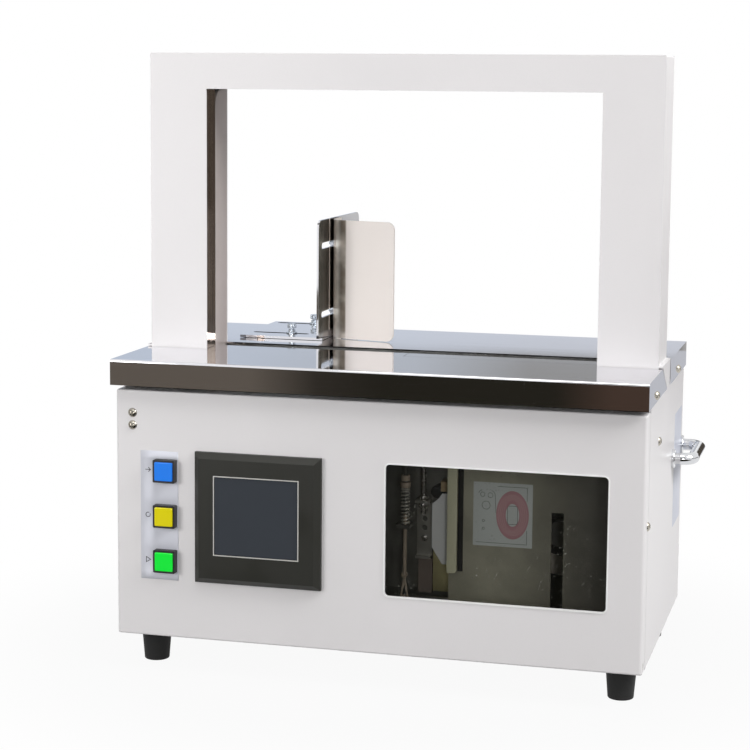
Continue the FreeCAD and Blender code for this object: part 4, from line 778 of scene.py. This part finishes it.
# %% [markdown]
# A screw thread is one ridge wound round a bar, so the radius ripples by a triangle wave
# of height over pitch minus the turn made so far. The stud carries a hexagon nut above
# and below its bracket; a chamfer rounds each nut off near both faces.

# %% Threads and hexagons
def thread_ripple(depth, pitch):
    """Depth times a triangle wave of (h / pitch - a / one turn), always inwards."""
    def ripple(angle, height):
        phase = (height / pitch - angle / (2 * math.pi)) % 1.0
        return -depth * np.abs(2 * phase - 1)
    return ripple


def threaded_bar(name, centre, radius, length, pitch, depth, per_turn=6, around=24):
    """A bar with chamfered ends, threaded from end to end."""
    heights = np.linspace(0, length, int(length / pitch * per_turn))
    from_end = np.minimum(heights, length - heights)
    radii = radius - np.clip(0.4 * mm - from_end, 0, None)
    return turned(name, centre, radii, heights, around, thread_ripple(depth, pitch))


def hex_nut(name, centre, flat, height, around=72):
    """Radius = flat / cos(angle from the middle of a side), chamfered at both faces."""
    heights = np.array([0.0, 0.14, 0.86, 1.0]) * height
    lift = np.array([0.0, 1.0, 1.0, 0.0])

    def ripple(angle, h):
        side = (angle + math.pi / 6) % (math.pi / 3) - math.pi / 6
        return (flat / np.cos(side) - flat) * np.interp(h, heights, lift)
    return turned(name, centre, np.full(4, flat), heights, around, ripple)


stud_low, stud_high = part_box("adjuster_stud")
stud_x, stud_y, _ = (stud_low + stud_high) / 2
bracket_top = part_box("adjuster_bracket")[1].z
nut_flat, nut_high, bracket_sheet = in_mm(3.98, 4.0, 2.0)
nut_below = bracket_top - bracket_sheet - nut_high
stud = joined("threaded_stud", [
    threaded_bar("bar", (stud_x, stud_y, stud_low.z), 2.5 * mm, stud_high.z - stud_low.z,
                 0.9 * mm, 0.315 * mm),
    hex_nut("upper", (stud_x, stud_y, bracket_top), nut_flat, nut_high),
    hex_nut("lower", (stud_x, stud_y, nut_below), nut_flat, nut_high)])
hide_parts("adjuster_stud")
add(stud, "frame", "bright_screws")
print("stud", len(stud.data.polygons), "faces")

# %% [markdown]
# The pull rod is threaded at its top, where two round nuts set the spring. The thread is
# a thin sleeve that goes up and down with the rod. It ends 8 mm above the tab that guides
# the rod, because the rod travels 7 mm down.

# %% Thread on the pull rod
rod_x, rod_y = rod_at = (11.0 * mm, -68.0 * mm)
sleeve_r, thread_low = 1.9 * mm, 131.8 * mm
thread_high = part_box("pull_rod")[1].z + 0.02 * mm
rod_thread = threaded_bar("rod_thread", (rod_x, rod_y, thread_low), sleeve_r,
                          thread_high - thread_low, 0.7 * mm, 0.25 * mm, around=20)
add(rod_thread, "pull_rod", "rod_copper", "dark_steel")
print("rod thread", round((thread_high - thread_low) * 1000, 1), "mm")

# %% [markdown]
# A compression spring is a tube bent into a helix whose pitch is small at both ends, so that the
# end coils lie flat. A circle is carried along it on two directions at right angles to the path.
# The wire is closed at the tab and left open under the nut, and its lower end stays on the tab.

# %% Spring round the rod
def coil_spring(name, centre, radius, wire, low, high, turns, steps=48, sides=10):
    """Helix (R cos a, R sin a, z(a)), z eased over the end turns, with a circle round it."""
    angle = np.linspace(0, turns * 2 * math.pi, int(turns * steps))
    turn = angle / (2 * math.pi)
    flow = np.clip(turn / 1.2, 0, 1) * np.clip((turns - turn) / 1.2, 0, 1)
    rise = np.concatenate([[0], np.cumsum(0.16 + flow)[:-1]])
    z = low + wire + (high - low - 2 * wire) * rise / rise[-1]
    outward = np.stack([np.cos(angle), np.sin(angle), np.zeros_like(angle)], axis=1)
    path = radius * outward
    path += np.stack([np.full_like(z, centre[0]), np.full_like(z, centre[1]), z], axis=1)
    ahead = np.gradient(path, axis=0)
    ahead /= np.linalg.norm(ahead, axis=1, keepdims=True)
    other = np.cross(ahead, outward)
    around = np.linspace(0, 2 * math.pi, sides, endpoint=False)[None, :, None]
    ring = np.cos(around) * outward[:, None, :] + np.sin(around) * other[:, None, :]
    closed_end = np.repeat(path[:1, None, :], sides, axis=1)
    points = np.concatenate([closed_end, path[:, None, :] + wire * ring])
    return surface(name, points, wrap_columns=True)


spring_low, spring_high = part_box("tension_spring")
spring = coil_spring("rod_spring", rod_at, 3.4 * mm, 0.7 * mm, spring_low.z, spring_high.z, 11.0)
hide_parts("tension_spring")
add(spring, "frame", "spring_steel")
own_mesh(spring)
print("spring", round((spring_high.z - spring_low.z) * 1000, 1), "mm high")

# %% [markdown]
# Two thumb screws clamp the guide. Each is a washer, a collar, a shank and a knurled
# knob. The knurl stops short of the knob's edges, so the crown stays smooth to the thumb.

# %% Knurled thumb screws
knob_profile = in_mm(
    (2.5, 0.0), (5.0, 0.0), (5.0, 0.8), (4.8, 1.0), (3.4, 1.0), (3.4, 3.2), (3.2, 3.4), (2.4, 3.4),
    (2.4, 4.6), (3.8, 4.6), (4.2, 5.0), (4.2, 8.0), (4.0, 8.4), (3.6, 8.6), (2.2, 8.6), (2.0, 8.4))
knob_high, grip_low, grip_high = in_mm(8.6, 4.9, 8.1)
knurl_deep, ridges = 0.16 * mm, 30


def thumb_screw(name, node_name):
    """The knob's profile over a plain shank, turned on the axis of the node it replaces."""
    low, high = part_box(node_name)
    x, y, _ = (low + high) / 2
    base = high.z - knob_high

    def knurl(angle, height):
        gripped = (height > base + grip_low) & (height < base + grip_high)
        return np.where(gripped, -knurl_deep * (0.5 + 0.5 * np.cos(ridges * angle)), 0.0)
    radii = np.concatenate([knob_profile[:1, 0], knob_profile[:, 0]])
    heights = np.concatenate([[low.z], base + knob_profile[:, 1]])
    screw = turned(name, (x, y, 0.0), radii, heights, 180, knurl)
    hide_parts(node_name)
    return screw


for side in ("front", "rear"):
    screw = thumb_screw(f"thumb_screw_{side}", f"guide_screw_{side}")
    add(screw, f"guide_screw_{side}", "bright_screws", "blue_zinc")
    print(screw.name, len(screw.data.polygons), "faces")

# %% [markdown]
# In front of the sealing head stands a pale sensor plate on two spacers, with a round black sensor
# at its top corner and a small tan connector beside it. A yellow-passivated bracket and a brown
# pad show below, and a thin black strip down the guard is a painted shadow of the cream strip.

# %% Sensor plate and its neighbours
def outline_plate(name, outline, y_back, y_front, edge=0.2):
    """A flat plate from an outline of (x, z) in mm; its rims are pulled in by an edge."""
    outline, edge = in_mm(*outline), edge * mm
    middle = np.broadcast_to(outline.mean(axis=0), outline.shape)
    reach = np.linalg.norm(outline - middle, axis=1, keepdims=True)
    pulled = middle + (outline - middle) * (1 - edge / reach)
    x, z = np.stack([middle, pulled, outline, outline, pulled, middle]).transpose(2, 0, 1)
    depths = [y_back, y_back, y_back - edge, y_front + edge, y_front, y_front]
    y = np.array(depths)[:, None] * np.ones(len(outline))
    return surface(name, np.stack([x, y, z], axis=2), wrap_columns=True)


def turned_forward(name, centre, radii, depths, around=40):
    """A turned part whose axis points to -Y: the +Z shape with its axes exchanged."""
    made = turned(name, (0, 0, 0), in_mm(*radii), in_mm(*depths), around)
    x, y, z = np.array([v.co for v in made.data.vertices]).T
    points = np.stack([x, -z, y], axis=1) + np.asarray(centre)
    made.data.vertices.foreach_set("co", points.ravel())
    finish_mesh(made.data)
    return made


def block(left, low, right, high):
    return [(left, low), (right, low), (right, high), (left, high)]


drawn("passivated", (0.72, 0.66, 0.36), (0.34, 0.46), (40.0, 40.0, 40.0), 0.16, blotch=60.0)
moulded("sensor_plate_coat", (0.95, 0.97, 0.94), (0.38, 0.48), 2000.0, 0.08, 0.04)
moulded("tan_connector", (0.48, 0.36, 0.20), (0.45, 0.55))
moulded("brown_pad", (0.22, 0.175, 0.15), (0.50, 0.62), cloud=0.2)
head_face = -56.0 * mm
sensor_plate_outline = [(34.6, 106), (43.6, 92), (47.4, 92), (47.4, 152), (43.0, 152),
                        (40.0, 147.5), (34.6, 143)]
neighbours = [
    (outline_plate("sensor_plate", sensor_plate_outline, -69.2 * mm, -70.4 * mm),
     "zinc_sheet", "sensor_plate_coat"),
    (turned_forward("round_sensor", (38.0 * mm, head_face, 152.5 * mm),
                    (5.2, 5.2, 4.6, 4.6, 3.4, 3.0, 3.0),
                    (0.0, 11.8, 12.2, 13.6, 13.9, 13.9, 13.2)), "black_plastic", None),
    (outline_plate("tan_connector", block(41.6, 153.5, 47.0, 162), head_face, -70.0 * mm, 0.4),
     "reel_plastic", "tan_connector"),
    (joined("plate_spacers", [
        turned_forward("spacer", (44.0 * mm, head_face, z * mm), (2.6, 2.6), (0.0, 13.2), 24)
        for z in (102.0, 140.0)]), "bright_screws", None),
    (outline_plate("yellow_bracket", block(33.6, 66, 47.4, 104), head_face, -60.0 * mm),
     "zinc_sheet", "passivated"),
    (outline_plate("insulating_pad", block(20.6, 64, 32.6, 93), head_face, -59.0 * mm),
     "reel_plastic", "brown_pad"),
    # Painted shadow: a black strip where the cream strip casts its shadow on the guard.
    (outline_plate("painted_shadow_strip", block(58.9, 90, 63.4, 220), guard_face,
                   guard_face - 0.5 * mm, 0.1), "rubber", None),
    (turned_forward("bracket_screw", in_mm(25.6, -58.0, 110.4), (2.6, 2.6, 2.2, 1.2, 1.0),
                    (0.0, 0.9, 1.4, 1.6, 1.1)), "bright_screws", None)]
for piece, slot_name, finish in neighbours:
    add(piece, "frame", slot_name, finish)
print("round the sealing head", [piece.name for piece, _, _ in neighbours])

# %% [markdown]
# A thin black disc in front of the roll, which turns with the reel, darkens what shows through the
# guard's slot as painted shade. It is a ring, because the hub hides the middle.

# %% Disc in front of the roll
# Painted shade: a dark sheet that keeps the guard's slot black.
shade_disc = printed_ring("reel_shade_disc", (reel_x, reel_z), 38.0 * mm, 72.0 * mm, 0.8 * mm, -30.15 * mm,
                    steps=96)
add(shade_disc, "reel", "reel_plastic", "black_plastic")
print("reel disc", len(shade_disc.data.polygons), "faces")

# %% [markdown]
# The world is white wherever it is looked at, in a mirror too, but it lights the object
# at a level below white, so that the pale coat keeps its shape.

# %% World
def seen_rays(tree):
    """1 for rays from the camera, a mirror or glass; 0 once a matt surface sent them on."""
    path = node(tree, "LightPath").outputs
    looks = math_node("MAXIMUM", path["Is Camera Ray"], path["Is Glossy Ray"])
    looks = math_node("MAXIMUM", looks, path["Is Transmission Ray"])
    fresh = math_node("LESS_THAN", path["Diffuse Depth"], 0.5)
    return math_node("MULTIPLY", looks, fresh)


world_level = 0.28
world = bpy.data.worlds.new("studio_air")
world.use_nodes = True
bpy.context.scene.world = world
tree = world.node_tree
air = tree.nodes["Background"].inputs
feed(air["Color"], (1.0, 1.0, 1.0))
feed(air["Strength"], evenly(seen_rays(tree), world_level, 1.0))
print("world level", world_level)

# %% [markdown]
# Near the object the floor is a real matt surface and takes its shadow; further out it
# fades into the white of the world, so no horizon shows.

# %% Floor
def stage_material(name):
    """A material with an output only, for something that isn't part of the object."""
    material = bpy.data.materials.new(name)
    material.use_nodes = True
    tree = material.node_tree
    tree.nodes.remove(tree.nodes["Principled BSDF"])
    return material, tree, tree.nodes["Material Output"].inputs["Surface"]


floor_rings = np.array([0.0, 0.3, 0.6, 1.2, 2.4, 5.0, 12.0])[:, None]
angle = np.linspace(0, 2 * math.pi, 64, endpoint=False)
floor_x, floor_y = floor_rings * np.cos(angle), floor_rings * np.sin(angle)
floor_points = np.stack([floor_x, floor_y, np.full_like(floor_x, -0.1 * mm)], axis=2)
floor = surface("studio_floor", floor_points, wrap_columns=True)
fade_begins, fade_ends, fade_least = 0.22, 0.50, 0.94
material, tree, shown = stage_material("floor_paper")
matt = node(tree, "BsdfDiffuse", Color=(0.28, 0.28, 0.28))
glow = node(tree, "Emission")
far = length_of(node(tree, "TexCoord").outputs["Object"])
fade = ranged(far, fade_begins, fade_ends, fade_least, 1.0)
share = math_node("MULTIPLY", fade, seen_rays(tree))
blend = node(tree, "MixShader", numbered=(share, matt.outputs[0], glow.outputs[0]))
feed(shown, blend.outputs[0])
floor.data.materials.append(material)
print("floor", floor_rings[-1, 0], "m")

# %% [markdown]
# Polished steel shows the room more than itself. A few glowing cards round the machine
# are seen by reflections only. In front, an upright dark one serves the table's front
# edge, one on the floor the panel, the window and the guard, and a high one the arch's
# inner strip. A brown one on the left serves the stop's bend. Behind on the right, two
# serve the table's top and its right edge, and a low one on the right the handle. Two
# blue-grey ones far behind serve the left of the table's top.

# %% Reflection cards
def card(name, low, high, axis, stops):
    """A flat sheet from low to high, equal in one coordinate, that glows by a ramp."""
    size = np.array(high) - low
    first, second = np.diag(size)[np.nonzero(size)[0]]
    piece = surface(name, low + np.array([[0 * first, second], [first, first + second]]))
    material, tree, shown = stage_material(name)
    axes = node(tree, "SeparateXYZ", Vector=node(tree, "TexCoord").outputs["Object"])
    start, end = stops[0][0], stops[-1][0]
    ramp = node(tree, "ValToRGB", Fac=ranged(axes.outputs[axis], start, end, smooth=False))
    colours = ramp.color_ramp.elements
    while len(colours) < len(stops):
        colours.new(0.5)
    for element, (at, colour) in zip(colours, stops):
        element.position = (at - start) / (end - start)
        element.color = (*colour, 1.0)
    feed(shown, node(tree, "Emission", Color=ramp.outputs["Color"]).outputs[0])
    piece.data.materials.append(material)
    piece.visible_camera = piece.visible_diffuse = piece.visible_shadow = False
    piece.visible_transmission = piece.visible_volume_scatter = False


warm_dark, near_black = (0.125, 0.105, 0.085), (0.020, 0.018, 0.013)
brown_dark = (0.066, 0.042, 0.031)
white, mid_grey, far_brown = (0.95, 0.95, 0.95), (0.31, 0.31, 0.31), (0.10, 0.075, 0.06)
side_dark = (0.10, 0.09, 0.08)
cards = {
    "card_front": ((-1.6, -1.35, 0.0), (1.6, -1.35, 0.16), "X", [
        (-0.8, warm_dark), (-0.50, warm_dark), (-0.40, (0.034, 0.029, 0.023)),
        (-0.30, near_black), (-0.05, near_black), (0.03, brown_dark)]),
    "card_low": ((-1.0, -1.34, 0.004), (1.0, -0.17, 0.004), "X", [
        (-1.0, near_black), (1.0, near_black)]),
    "card_left": ((-1.4, -1.7, 0.0), (-1.4, 0.2, 1.2), "Y", [
        (-1.7, (0.14, 0.115, 0.09)), (-0.75, (0.20, 0.17, 0.14)), (-0.1, (0.60, 0.57, 0.53)),
        (0.2, (0.9, 0.88, 0.85))]),
    "card_right": ((0.1, 2.0, 0.0), (1.4, 2.0, 0.55), "X", [
        (0.1, white), (0.38, white), (0.43, (0.075, 0.066, 0.055)), (1.4, far_brown)]),
    "card_low_back": ((0.1, 1.2, 0.004), (1.4, 2.0, 0.004), "X", [
        (0.1, (0.51, 0.52, 0.56)), (0.46, (0.53, 0.54, 0.58)), (0.50, (0.075, 0.060, 0.050)),
        (1.4, far_brown)]),
    "card_high": ((-0.15, -1.9, 0.55), (1.3, -1.9, 1.9), "X", [
        (-0.15, (0.06, 0.06, 0.06)), (1.3, (0.08, 0.08, 0.08))]),
    "card_side": ((1.9, -1.4, 0.22), (1.9, 1.8, 0.45), "Y", [(-1.4, side_dark), (1.8, side_dark)]),
    "card_back": ((-2.2, 2.5, 0.606), (0.05, 2.5, 1.6), "X", [
        (-1.2, (0.54, 0.60, 0.70)), (-0.6, (0.47, 0.50, 0.55)), (-0.35, mid_grey),
        (0.05, mid_grey)]),
    "card_horizon": ((-2.2, 2.5, 0.33), (0.05, 2.5, 0.606), "X", [
        (-1.2, (0.60, 0.66, 0.76)), (0.0, (0.64, 0.66, 0.72))])}
for name, (low, high, axis, stops) in cards.items():
    card(name, low, high, axis, stops)
print(len(cards), "cards")

# %% [markdown]
# Four soft lamps finish the studio. The one on the right stands high and close, so the
# side and the arch are a little brighter than the front; the others light the table, keep
# the front from going flat, and shine into the window.

# %% Lamps
def soft_lamp(name, place, aim, size, power):
    """A round area lamp that stands at a place and faces a point."""
    lamp = bpy.data.lights.new(name, "AREA")
    lamp.shape = "DISK"
    lamp.size = size
    lamp.energy = power
    holder = bpy.data.objects.new(name, lamp)
    bpy.context.scene.collection.objects.link(holder)
    holder.location = place
    towards = Vector(aim) - Vector(place)
    holder.rotation_euler = towards.to_track_quat("-Z", "Y").to_euler()


soft_lamp("lamp_right", (1.45, -0.42, 1.35), (0.0, 0.0, 0.30), 0.9, 28.0)
soft_lamp("lamp_above", (0.1, -0.95, 2.1), (0.0, 0.0, 0.3), 1.4, 12.0)
soft_lamp("lamp_left", (-0.80, -1.00, 0.42), (-0.1, 0.0, 0.20), 0.6, 5.7)
soft_lamp("lamp_front", (0.9, -2.4, 0.6), (0.1, -0.1, 0.15), 0.35, 8.9)
print("lamps", [lamp.name for lamp in bpy.data.lights])
